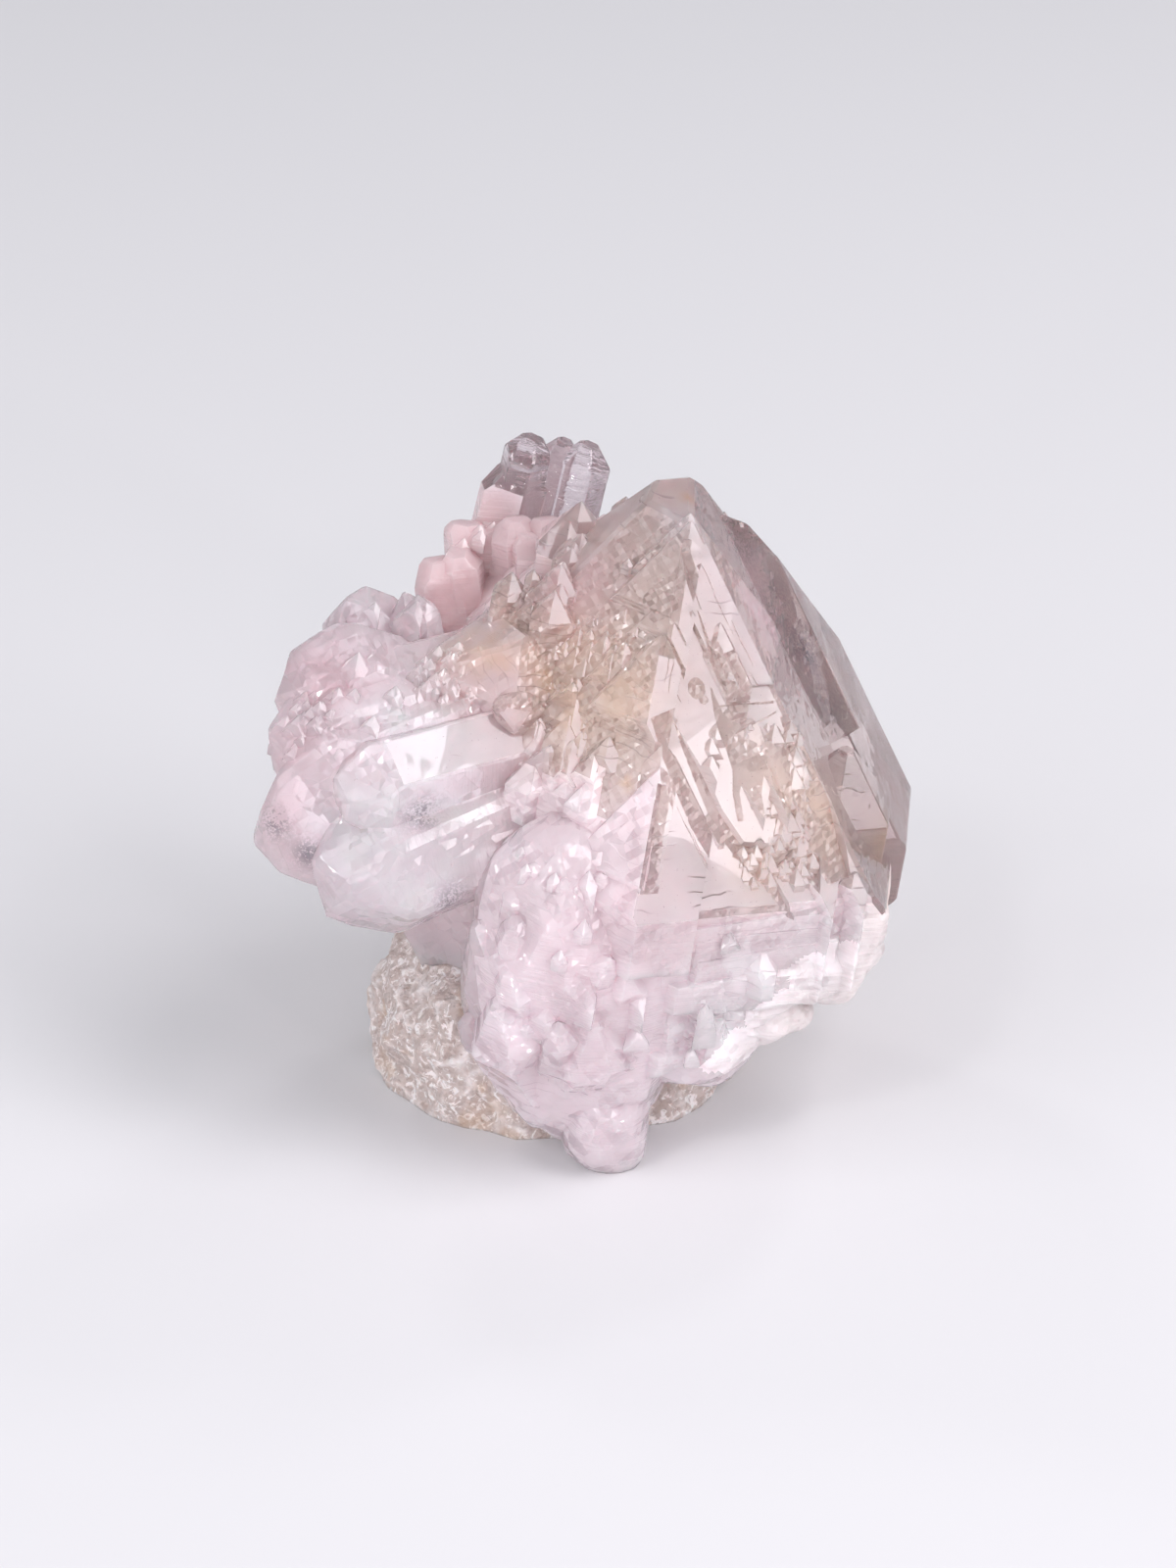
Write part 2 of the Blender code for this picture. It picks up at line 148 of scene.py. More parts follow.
def facets(middles, widths, heights, out, seed):
    """Small crystals whose front pyramid face has the given middle, width and height, and is moved out.

    Its flat is its height over FACE_HEIGHT from the axis, and its neighbours' its width over FACE_WIDTH.
    """
    rng = np.random.default_rng(seed)
    middles, widths, heights = (np.asarray(given, float) for given in (middles, widths, heights))
    count = len(middles)
    _, fall, outward = face_axes(FRONT)
    flats = np.empty((count, SIDES))
    flats[:, FRONT] = heights / FACE_HEIGHT
    flats[:, [RIGHT, FRONT_LEFT]] = (widths / FACE_WIDTH)[:, None] * rng.uniform(0.8, 1.2, (count, 2))
    hidden = rng.uniform(0.8, 1.1, (count, 3))
    flats[:, [BACK_RIGHT, BACK_LEFT, LEFT]] = (heights / FACE_HEIGHT)[:, None] * hidden
    tips = middles - fall * heights[:, None] * 0.5 + outward * out
    return grown_points(tips, flats, 1.1 * heights + 0.6, np.full(count, 0.05))


studs = bpy.data.collections.new("studs")
bpy.context.scene.collection.children.link(studs)


def as_studs(name, shape):
    """One closed mesh among the studs for each crystal of a shape made by grown_points."""
    places, faces = shape
    for index, corners in enumerate(places):
        mesh = bpy.data.meshes.new(f"{name}_{index}")
        mesh.from_pydata(corners * MM, [], faces)
        studs.objects.link(bpy.data.objects.new(f"{name}_{index}", mesh))


def stud_field(name, side, across, down, count, sizes, lift, seed):
    """Many small parallel crystals over a span of one pyramid face, with their tips lift sizes above it."""
    rng = np.random.default_rng(seed)
    size = rng.uniform(*sizes, count)
    flats = size[:, None] * rng.uniform(0.6, 1.35, (count, SIDES))
    across, down = rng.uniform(*across, count), rng.uniform(*down, count)
    tips = on_face(side, across, down, rng.uniform(*lift, count) * size)
    as_studs(name, grown_points(tips, flats, 2 + 2.2 * size, 0.06 * size))


stud_field("step", FRONT_LEFT, (-6, 11), (14, 33), 120, (0.4, 1.5), (0.0, 0.4), 3)
stud_field("step_fine", FRONT_LEFT, (-5, 12), (16, 32), 130, (0.2, 0.55), (0.2, 1.2), 13)
stud_field("glitter", FRONT, (-8.5, -2.5), (25.5, 36), 80, (0.4, 1.3), (0.1, 0.5), 5)
stud_field("glitter_low", FRONT, (-8, 0), (37, 41), 45, (0.35, 1.1), (0.1, 0.5), 15)
stud_field("side_step", LEFT, (-9, 8), (12, 28), 60, (0.5, 1.8), (0.5, 1.1), 4)
stud_field("back_step", BACK_LEFT, (-8, 8), (9, 24), 60, (0.5, 1.8), (0.4, 1.0), 6)
stud_field("far_step", BACK_RIGHT, (-9, 4), (12, 26), 60, (0.5, 1.8), (0.4, 1.0), 7)

# Bright facets on the fan, the pink overgrowth and the lower front: middle, width and height of each.
SHOWN_FACETS = (
    ((-22.6, -4.8, 47.6), 3.8, 2.6), ((-24.6, -7.2, 45.8), 2.8, 0.9), ((-22.9, -7.8, 45.6), 1.4, 1.7),
    ((-18.8, -7.9, 45.2), 2.0, 3.0), ((-20.9, -10.9, 43.5), 1.5, 2.8), ((-17.0, 3.0, 49.2), 2.2, 3.4),
    ((-21.3, 5.2, 48.4), 1.6, 2.8), ((-1.2, -8.9, 44.8), 1.3, 5.2), ((-3.4, -13.2, 39.7), 1.0, 6.0),
    ((4.0, 1.0, 56.0), 1.2, 1.0), ((-6.5, -18.9, 34.3), 1.4, 0.8), ((-6.0, -20.6, 33.3), 2.8, 0.9),
    ((-3.2, -22.2, 33.0), 1.6, 1.2), ((0.3, -22.8, 31.7), 2.2, 4.4), ((-0.9, -24.1, 30.3), 0.5, 5.0),
    ((-0.3, -24.6, 28.9), 2.0, 1.6), ((-2.7, -25.4, 26.1), 1.9, 1.4), ((0.2, -26.0, 21.6), 2.6, 3.4),
    ((5.3, -24.5, 20.3), 2.4, 3.4), ((4.8, -24.7, 17.2), 4.0, 1.6), ((-3.8, -25.4, 19.0), 2.2, 3.0),
    ((11.6, -22.4, 18.4), 7.4, 1.4), ((12.6, -21.2, 15.6), 5.6, 1.2), ((10.2, -22.5, 13.8), 3.4, 1.0),
    ((17.4, -19.7, 21.9), 4.2, 4.0), ((13.9, -21.2, 26.0), 3.0, 1.0), ((9.5, -24.0, 27.2), 3.6, 0.6),
)
FACETS_OUT = 0.35
as_studs("facet", facets(*zip(*SHOWN_FACETS), FACETS_OUT, 12))


# Stretched balls that the lower front fills: the pink overgrowth, and the mass right of its foot.
OVERGROWTH = ((-1, -15.2, 18.5), (11.2, 10.2, 18))
LOW_MASS = ((9, -13, 17), (10, 9.5, 11))
OUTGROWN_TURN = 25


def rays(azimuths, elevations):
    """Unit vectors for arrays of azimuth and elevation, as direction gives one."""
    a, e = np.radians(azimuths), np.radians(elevations)
    return np.stack([np.sin(a) * np.cos(e), -np.cos(a) * np.cos(e), np.sin(e)], 1)


def scattered(name, ball, facing, rise, count, sizes, out, seed):
    """Small parallel crystals over part of a stretched ball, each where a ray from its middle meets it."""
    rng = np.random.default_rng(seed)
    middle, half = np.array(ball)
    azimuths, elevations = rng.uniform(*facing, count), rng.uniform(*rise, count)
    size = rng.uniform(*sizes, count)
    widths, heights = size * rng.uniform(0.7, 1.6, count), size * rng.uniform(0.6, 1.5, count)
    as_studs(name, facets(middle + rays(azimuths, elevations) * half, widths, heights, out, seed))


def outgrown(name, ball, lean, spread, count, sizes, seed):
    """Small crystals that grow out of part of a stretched ball, all leaning along its lean."""
    rng = np.random.default_rng(seed)
    middle, half = np.array(ball)
    angles = rng.uniform(-1, 1, (2, count)) * np.array(spread)[:, None] + np.array(lean)[:, None]
    size = rng.uniform(*sizes, count)
    tips = middle + rays(*angles) * (half + 0.3 * size[:, None])
    flats = size[:, None] * rng.uniform(0.6, 1.3, (count, SIDES))
    as_studs(name, grown_points(tips, flats, 2 + 1.5 * size, 0.1 * size, growth_axes(lean, OUTGROWN_TURN)))


scattered("lobe_facet", ((-25, -4.5, 37.5), (6.5, 7.5, 8.4)), (-70, 20), (10, 70), 70, (0.5, 1.8), -0.1, 41)
scattered("inner_facet", ((-13, -1.5, 43), (7.5, 6, 5.8)), (-50, 40), (15, 75), 60, (0.4, 1.6), -0.05, 42)
scattered("mass_facet", ((-1, -15.2, 18.5), (11.6, 10.6, 18.5)), (-40, 45), (2, 62), 50, (0.4, 1.8),
          -0.4, 43)
outgrown("mass_left", OVERGROWTH, (-45, 8), (28, 30), 16, (0.5, 1.8), 51)
outgrown("mass_low", OVERGROWTH, (5, -22), (30, 22), 22, (0.5, 1.9), 52)
outgrown("low_right", LOW_MASS, (40, -8), (32, 28), 60, (0.35, 1.8), 53)
outgrown("low_front", LOW_MASS, (0, 6), (28, 26), 36, (0.35, 1.5), 54)
scattered("tuft_facet", ((-5.5, 18.5, 40), (11, 6, 13)), (100, 280), (0, 70), 60, (0.8, 2.2), 0.1, 44)

# Growth left slanting valleys between the plates of the front face. Each has the across, down and width of
# the places on its path, the level of its banks, and how many half widths its floor lies aside.
VALLEYS = {
    "main_band": (((5.6, 24.0, 0.7), (4.6, 27.4, 1.6), (3.3, 30.9, 2.4), (2.2, 34.5, 2.6), (0.8, 37.3, 2.8),
                   (-0.9, 40.0, 2.6), (-2.9, 42.3, 2.2), (-4.6, 46.5, 2.4)), 0.3, 0.7),
    "right_band": (((0.3, 21.8, 0.8), (-0.3, 25.3, 1.8), (-1.1, 28.0, 2.0), (-1.4, 30.4, 1.8),
                    (-0.8, 32.7, 1.4), (-0.9, 35.4, 1.3)), 0.2, -0.6),
    "sliver": (((0.9, 14.2, 0.14), (0.3, 17.4, 0.4), (-0.1, 20.0, 0.8), (-0.6, 21.9, 0.8),
                (-1.0, 23.3, 0.3)), 0.5, 0.6),
    "hairline": (((1.8, 8.2, 0.1), (1.1, 11.4, 0.16), (0.5, 14.2, 0.12)), 0.5, 0),
    "slot": (((-0.1, 23.85, 0.5), (-6.2, 23.8, 0.6)), 0.1, 0),
    "slot_low": (((-0.9, 25.35, 0.2), (-4.6, 25.15, 0.3)), 0.2, 0),
    "shelf": (((-1.5, 27.0, 0.7), (-3.6, 26.2, 0.9), (-6.4, 25.0, 0.8)), 0.2, 0.6),
    "right_slope": (((-7.2, 25.2, 2.2), (-8.6, 30.3, 3.6), (-9.8, 34.3, 4.0), (-10.2, 38.5, 3.6),
                     (-11.2, 41.9, 1.6)), 0.2, 0.75),
    "low_slope": (((0.6, 38.2, 2.0), (-3.6, 39.5, 3.4), (-8.4, 40.6, 2.2)), 0.1, 0.7),
}
VALLEY_SLOPE = 0.32
CLEARANCE = 1.6
cuts = bpy.data.collections.new("cuts")
bpy.context.scene.collection.children.link(cuts)


def cut(name, rings):
    """A closed body among the cuts, from a grid of rings, with its faces turned outwards."""
    count, corners, _ = rings.shape
    ring, corner = np.arange(count - 1)[:, None] * corners, np.arange(corners)
    after = (corner + 1) % corners
    sides = np.stack([ring + corner, ring + after, ring + corners + after, ring + corners + corner], -1)
    ends = [list(range(corners - 1, -1, -1)), list(range((count - 1) * corners, count * corners))]
    mesh = bpy.data.meshes.new(name)
    mesh.from_pydata(rings.reshape(-1, 3) * MM, [], sides.reshape(-1, 4).tolist() + ends)
    bm = bmesh.new()
    bm.from_mesh(mesh)
    if bm.calc_volume(signed=True) < 0:
        bmesh.ops.reverse_faces(bm, faces=bm.faces[:])
        bm.to_mesh(mesh)
    bm.free()
    cuts.objects.link(bpy.data.objects.new(name, mesh))


def valley(name, path, level, lean):
    """A three-cornered profile carried along a path on the front face: two banks and a floor between them.

    The floor lies VALLEY_SLOPE of the width below level, moved aside by lean half widths, and each bank
    runs on from the floor through the edge of the width at level, up to CLEARANCE above it.
    """
    path = np.array(path)
    run = np.gradient(path[:, :2], axis=0)
    run /= np.linalg.norm(run, axis=1)[:, None]
    aside = np.stack([-run[:, 1], run[:, 0]], 1)
    half = path[:, 2] / 2
    depth = VALLEY_SLOPE * path[:, 2]
    spread = half * (CLEARANCE + depth) / depth
    leant = lean * half * CLEARANCE / depth
    bank = level + CLEARANCE + 0 * half
    offsets = np.stack([-spread - leant, lean * half, spread - leant], 1)
    outs = np.stack([bank, level - depth, bank], 1)
    flat = path[:, None, :2] + aside[:, None, :] * offsets[:, :, None]
    cut(name, on_face(FRONT, flat[..., 0], flat[..., 1], outs))


for name, (path, level, lean) in VALLEYS.items():
    valley(name, path, level, lean)

# Growth lines run beside the plates' edges, EDGE_TURN away from the fall line. Each has its start across
# and down, its length, the side it turns to and its level. All swell to LINE_WIDTHS and sway a little.
EDGE_TURN = math.radians(19.65)
LINE_WIDTHS = (0.05, 0.11, 0.14, 0.11, 0.05)
LINE_SWAY = 0.06
HAIRLINES = (
    (1.3, 7.0, 9.0, 1, 0.5), (1.7, 8.4, 11.0, 1, 0.5), (-0.2, 9.5, 3.4, -1, 0.5),
    (-1.1, 12.6, 4.6, -1, 0.5), (-2.6, 15.4, 5.2, -1, 0.5), (0.2, 17.0, 4.4, -1, 0.5),
    (-1.6, 18.6, 4.6, -1, 0.5), (-3.9, 20.6, 2.6, -1, 0.5), (3.2, 14.2, 3.6, 1, 0.9),
    (4.0, 16.0, 5.6, 1, 1.1), (4.4, 18.6, 4.0, 1, 1.1), (2.6, 25.0, 4.0, 1, 0.9),
    (1.6, 26.4, 5.4, -1, 0.9), (0.9, 29.4, 4.0, -1, 0.9), (7.8, 31.4, 8.6, 1, 1.1),
    (8.4, 33.0, 9.0, 1, 1.1), (6.6, 33.5, 7.0, -1, 1.1), (5.4, 36.2, 5.0, -1, 1.1),
    (9.6, 37.0, 5.2, 1, 1.1), (4.4, 39.6, 3.6, -1, 1.1), (-2.4, 27.8, 4.0, -1, 0.8),
    (-4.0, 29.6, 5.0, -1, 0.8), (-5.6, 33.0, 3.2, -1, 0.8),
)
for index, (across, down, length, side, level) in enumerate(HAIRLINES):
    steps = np.linspace(0, length, len(LINE_WIDTHS))
    sway = LINE_SWAY * np.sin(steps * 1.9 + index)
    across = across + side * np.sin(EDGE_TURN) * steps + sway
    path = np.stack([across, down + np.cos(EDGE_TURN) * steps, LINE_WIDTHS], 1)
    valley(f"hairline_{index:02d}", path, level, 0)


PIT_END = 88
PIT_RINGS = 9
PIT_CORNERS = 14


def hollow(name, across, down, level, half):
    """A shallow round pit in the front face: rings of a flattened ball, from one pole to the other."""
    rise = np.radians(np.linspace(-PIT_END, PIT_END, PIT_RINGS)[:, None])
    turn = np.radians(np.arange(PIT_CORNERS)[None, :] * 360 / PIT_CORNERS)
    x = np.cos(rise) * np.cos(turn) * half[0]
    y = np.cos(rise) * np.sin(turn) * half[1]
    z = np.sin(rise) * half[2] + 0 * x
    cut(name, on_face(FRONT, across + x, down + y, level + z))


hollow("pit", 2.0, 21.9, 0.5, (1.3, 1.5, 0.75))
hollow("pit_low", 1.4, 23.1, 0.5, (1.0, 0.9, 0.6))

# The right shoulder is worn down to one long slope that runs on from the right face of the large point. A
# bar with three corners, WEAR_PROFILE back and out from the ledge's foot, is cut away along the edge.
LEDGE_FOOT = np.array((11.0, 14.2, 60.6))
WEAR_PROFILE = np.array(((-0.3, 0.0), (7.5, 1.6), (2.0, 7.0)))
WEAR_ABOVE = 5
WEAR_LENGTH = 36
right_out = face_axes(RIGHT)[2]
front_out = face_axes(FRONT)[2]
ledge_run = np.cross(front_out, right_out)
ledge_run *= -np.sign(ledge_run[2]) / np.linalg.norm(ledge_run)
ledge_back = np.cross(right_out, ledge_run)
ledge_back *= -np.sign(ledge_back @ front_out) / np.linalg.norm(ledge_back)
start = LEDGE_FOOT - WEAR_ABOVE * ledge_run
ring = start + WEAR_PROFILE[:, :1] * ledge_back + WEAR_PROFILE[:, 1:] * right_out
cut("shoulder_wear", np.stack([ring, ring + WEAR_LENGTH * ledge_run]))

# The pink overgrowth narrows to a tongue at its foot. Its sides are cut back by bars that run from front
# to back, with three corners each, given as x and z.
TONGUE_CUTS = {
    "tongue_side": ((4.4, -1.0), (9.6, 9.0), (20.0, -1.0)),
    "tongue_left": ((-0.8, -1.0), (-8.0, -1.0), (-4.6, 4.0)),
}
TONGUE_ENDS = (-32.0, -12.0)
for name, profile in TONGUE_CUTS.items():
    x, z = np.array(profile).T
    cut(name, np.stack([np.stack([x, np.full(len(x), y), z], 1) for y in TONGUE_ENDS]))


# Corners closer than this are merged, in metres.
MERGED = 2e-6


def in_scene(name, data):
    """A new object in the scene."""
    made = bpy.data.objects.new(name, data)
    bpy.context.scene.collection.objects.link(made)
    return made


def plain_copy(node, name):
    """A merged copy of a CAD node's mesh as an object of its own."""
    bm = bmesh.new()
    bm.from_mesh(frame["nodes"][node].data)
    bmesh.ops.remove_doubles(bm, verts=bm.verts[:], dist=MERGED)
    mesh = bpy.data.meshes.new(name)
    bm.to_mesh(mesh)
    bm.free()
    return in_scene(name, mesh)


def fuse(piece, operation, collection):
    """Joins a collection's bodies to a piece, or cuts them out of it, and removes them."""
    step = piece.modifiers.new("step", "BOOLEAN")
    step.operation = operation
    step.solver = "MANIFOLD"
    step.operand_type = "COLLECTION"
    step.collection = collection
    result = bpy.data.meshes.new_from_object(piece.evaluated_get(bpy.context.evaluated_depsgraph_get()))
    piece.modifiers.clear()
    piece.data = result
    for used in list(collection.objects):
        bpy.data.objects.remove(used, do_unlink=True)
    bpy.data.collections.remove(collection)


crystals = plain_copy("rose_quartz", "grown_crystals")
fuse(crystals, "DIFFERENCE", cuts)
fuse(crystals, "UNION", studs)

# Kinds of quartz in the one grown body. Each has its colour, the longest edge that its mesh keeps, how
# much its edges are rounded, the angle from which an edge stays sharp, and how far its faces swell.
KINDS = {
    "smoky": ((0.88, 0.75, 0.71), 1.5, 0.0, 7, 0.02),
    "pink": ((0.85, 0.73, 0.77), 0.62, 0.08, 20, 0.12),
    "lilac": ((0.87, 0.76, 0.79), 0.9, 0.05, 14, 0.07),
    "rose": ((0.76, 0.59, 0.60), 1.0, 0.05, 20, 0.06),
    "clear": ((0.76, 0.63, 0.61), 1.2, 0.0, 10, 0.02),
    "crust": ((0.70, 0.64, 0.63), 0.58, 0.15, 30, 0.3),
    "tan": ((0.86, 0.74, 0.70), 1.2, 0.0, 12, 0.02),
    "milky": ((0.79, 0.69, 0.72), 0.66, 0.04, 14, 0.1),
}
SMOKY, PINK, LILAC, ROSE, CLEAR, CRUST, TAN, MILKY = range(len(KINDS))
TONES, LONGEST, ROUNDED, SHARP, UNEVEN = (np.array(column) for column in zip(*KINDS.values()))
# Stretched balls that a kind fills: the middle and half sizes of each.
BALLS = {
    PINK: [((-1.0, -15.2, 18.5), (14.0, 12.8, 22.4)), ((-9, -8, 20), (9, 9, 8)),
           ((-5.6, -11.5, 16.5), (8.6, 10.2, 15)), ((1.8, -20.2, 4), (7.4, 7.4, 10)),
           ((9.5, -15.5, 12.5), (9.4, 7.8, 7.4))],
    ROSE: [((-5.5, 18.5, 40), (16, 11, 18.5))],
    CLEAR: [((-3, 24.5, 57), (7.5, 5, 8)), ((30, 0, 28), (7, 14, 13))],
    CRUST: [((17.2, -13.6, 13.6), (7.2, 6, 3.8)), ((22.4, -11.2, 16.4), (7.2, 6, 3.8)),
            ((26.6, -8.6, 18.6), (5.6, 6, 3.6)), ((24.5, -15.5, 19.3), (6.5, 4.5, 3.2)),
            ((28.5, -13, 21.5), (4, 4.5, 3)), ((20, -17.5, 15.6), (5, 4.5, 3)),
            ((15, -19.5, 12.4), (4, 4, 2.2))],
}
# The cosines from which a facet is part of a face of the large point, and below which it lies on it askew.
ALIGNED = 0.9998
ASKEW = 0.9996
# The way that the shining facet of the fan faces. Where the fan and the shining facet end, and the tan
# ground and the pink start, along x. The foot of the upper crystals, and the height of the overgrowth.
SHOWN_SIDE = np.array((0.312, -0.602, 0.735))
FAN_END = -8
FACET_END = -4.5
TAN_START = -9.5
PINK_START = -10.5
UPPER_FOOT = 20
OVERGROWN = 27.5


def inside(points, middle, half):
    """True for each point within a stretched ball."""
    return (((points - np.array(middle)) / np.array(half)) ** 2).sum(-1) < 1


def kind_of(points, facing):
    """The kind of quartz of each facet, from its middle and the way it faces.

    The fan is what lies left of the large point, what faces right high on it is clear, broken ground on
    its two front faces is tan, the low front is milky, and the balls mark the others. Later rules
    overrule earlier ones.
    """
    x, y, z = points.T
    kinds = np.where((x < FAN_END) & (z > UPPER_FOOT) & (y < 15), LILAC, SMOKY)
    kinds[(facing[:, 0] > 0.72) & (x > 9) & (z > UPPER_FOOT)] = CLEAR
    straight = facing @ front_out
    across, down, out = ((points - MAIN_TIP) @ face_axes(FRONT).T).T
    plate = (straight > ALIGNED) & (across < 10) & (z > UPPER_FOOT) & (abs(out - 2) < 2.4)
    ground = (abs(across) < 12.5) & (down > 6) & (down < 45) & (abs(out - 1) < 3.2)
    kinds[ground & (straight < ASKEW) & (straight > 0.5) & (x > TAN_START)] = TAN
    across, down, out = ((points - MAIN_TIP) @ face_axes(FRONT_LEFT).T).T
    ground = (abs(across) < 12) & (down > 12) & (down < 34) & (abs(out - 1) < 3.5)
    kinds[ground & (straight < ASKEW) & (x > TAN_START)] = TAN
    kinds[(z < OVERGROWN) & (y < 0)] = LILAC
    kinds[(z < OVERGROWN) & (y < -5) & (x > -9) & ~plate] = MILKY
    kinds[(x < FACET_END) & (y < -9) & (z > 27)] = LILAC
    kinds[(facing @ SHOWN_SIDE > 0.999) & (x < FACET_END) & (z > 30)] = SMOKY
    for kind in (ROSE, PINK, CLEAR, CRUST):
        for ball in BALLS[kind]:
            kinds[inside(points, *ball) & ~plate & ((kind != PINK) | (x > PINK_START))] = kind
    return kinds


def cloud(points, size, seed=0, octaves=2):
    """Smooth random value of about -1 to 1 at each point.

    Every corner of a lattice of the given cell size has a value mixed from its three whole numbers, and a
    point takes the values of its eight corners, blended by a smooth step. Each octave has half the cell
    and half the part of the one before.
    """
    total, part = np.zeros(len(points)), 1.0
    for octave in range(octaves):
        grid = points / size * 2.0 ** octave + 17.3 * seed
        cell = np.floor(grid).astype(np.int64)
        t = grid - cell
        t = t * t * (3 - 2 * t)
        for corner in np.ndindex(2, 2, 2):
            near = np.array(corner)
            h = ((cell + near) * (73856093, 19349663, 83492791)).sum(1) ^ (seed * 7919 + octave * 104729)
            h = ((h ^ (h >> 13)) * 1274126177) & 0x7FFFFFFF
            value = ((h ^ (h >> 15)) & 0xFFFF) / 32767.5 - 1
            total += part * value * np.where(near, t, 1 - t).prod(1)
        part *= 0.5
    return total


def refined(points, triangles, kinds, longest, rounds):
    """Halves every edge that is longer than its triangles' kinds allow, and splits the triangles to match.

    A triangle with one halved side becomes two, one with two becomes a corner and a halved remainder, and
    one with three becomes four, so that neighbours always meet along whole edges.
    """
    for _ in range(rounds):
        following = np.roll(triangles, -1, 1)
        low, high = np.minimum(triangles, following), np.maximum(triangles, following)
        keys, side = np.unique(low.astype(np.int64) * len(points) + high, return_inverse=True)
        ends = np.stack([keys // len(points), keys % len(points)], 1)
        allowed = np.full(len(keys), np.inf)
        np.minimum.at(allowed, side.reshape(-1), np.repeat(longest[kinds], 3))
        halved = np.linalg.norm(points[ends[:, 0]] - points[ends[:, 1]], axis=1) > allowed
        if not halved.any():
            break
        middle = np.full(len(keys), -1)
        middle[halved] = len(points) + np.arange(halved.sum())
        points = np.concatenate([points, points[ends[halved]].mean(1)])
        middle = middle[side.reshape(-1, 3)]
        count = (middle >= 0).sum(1)
        first = np.select([count == 1, count == 2],
                          [(middle >= 0).argmax(1), (middle < 0).argmax(1) + 1], 0)
        order = (first[:, None] + np.arange(3)) % 3
        a, b, c = np.take_along_axis(triangles, order, 1).T
        ab, bc, ca = np.take_along_axis(middle, order, 1).T
        patterns = (((a, b, c),), ((a, ab, c), (ab, b, c)), ((ab, b, bc), (a, ab, bc), (a, bc, c)),
                    ((a, ab, ca), (ab, b, bc), (ca, bc, c), (ab, bc, ca)))
        pieces = [(np.stack(part, 1)[count == n], kinds[count == n])
                  for n, parts in enumerate(patterns) for part in parts]
        triangles = np.concatenate([piece for piece, _ in pieces])
        kinds = np.concatenate([kind for _, kind in pieces])
    return points, triangles, kinds


def main_body(points, triangles, kinds):
    """Keeps the largest connected body: labels spread along the triangles until each body has one label."""
    part = np.arange(len(points))
    while True:
        spread = part.copy()
        np.minimum.at(spread, triangles.ravel(), np.repeat(part[triangles].min(1), 3))
        spread = spread[spread]
        if (spread == part).all():
            break
        part = spread
    kept = part[triangles[:, 0]] == np.bincount(part[triangles[:, 0]]).argmax()
    used, triangles = np.unique(triangles[kept], return_inverse=True)
    return points[used], triangles.reshape(-1, 3), kinds[kept]


def rebuilt(mesh, points, triangles):
    """Puts new corners and triangles into a mesh."""
    mesh.clear_geometry()
    mesh.from_pydata(points * MM, [], triangles)
    mesh.update()


def array_of(items, attribute, width, kind=float):
    """A mesh attribute as an array with one row for each item."""
    values = np.empty(len(items) * width, np.int32 if kind is int else np.float32)
    items.foreach_get(attribute, values)
    return values.reshape(-1, width) if width > 1 else values


def marked(mesh, name, values):
    """Gives a mesh one named value for each corner, which its material reads."""
    mesh.attributes.new(name, "FLOAT", "POINT").data.foreach_set("value", values.astype(np.float32))


def relaxed(points, edges, weight, rounds):
    """Moves each point towards the mean of its neighbours by its weight, a number of times."""
    count = np.bincount(edges.ravel(), minlength=len(points))
    one, other = edges.T
    for _ in range(rounds):
        sums = np.stack([np.bincount(one, points[other, k], len(points))
                         + np.bincount(other, points[one, k], len(points)) for k in range(3)], 1)
        points = points + weight[:, None] * (sums / count[:, None] - points)
    return points


# Faces that meet at less than this many degrees are one facet.
ONE_FACET = 0.3


def sorted_facets(piece):
    """Joins the faces of each flat facet, gives it its kind, and splits it into triangles."""
    bm = bmesh.new()
    bm.from_mesh(piece.data)
    bmesh.ops.remove_doubles(bm, verts=bm.verts[:], dist=MERGED)
    bmesh.ops.dissolve_limit(bm, angle_limit=math.radians(ONE_FACET), verts=bm.verts[:], edges=bm.edges[:])
    middles = np.array([f.calc_center_median() for f in bm.faces]) / MM
    for face, kind in zip(bm.faces, kind_of(middles, np.array([f.normal for f in bm.faces]))):
        face.material_index = int(kind)
    bmesh.ops.triangulate(bm, faces=bm.faces[:])
    bm.to_mesh(piece.data)
    bm.free()


sorted_facets(crystals)
mesh = crystals.data
points = array_of(mesh.vertices, "co", 3).astype(float) / MM
corners = array_of(mesh.loops, "vertex_index", 1, int).reshape(-1, 3)
kinds = array_of(mesh.polygons, "material_index", 1, int)
points, corners, kinds = main_body(points, corners, kinds)
points, corners, kinds = refined(points, corners, kinds, LONGEST, 8)
# The crust ends in a ragged edge, so it is marked again on the fine mesh, from places that are shifted.
centre = points[corners].mean(1)
ragged = centre + 0.5 * cloud(centre, 2.0, 71, 2)[:, None]
kinds = np.where(np.any([inside(ragged, *ball) for ball in BALLS[CRUST]], axis=0), CRUST, kinds)
points, corners, kinds = refined(points, corners, kinds, LONGEST, 2)
rebuilt(mesh, points, corners)
edges = array_of(mesh.edges, "vertices", 2, int)
normals = array_of(mesh.polygons, "normal", 3)
centre = points[corners].mean(1)
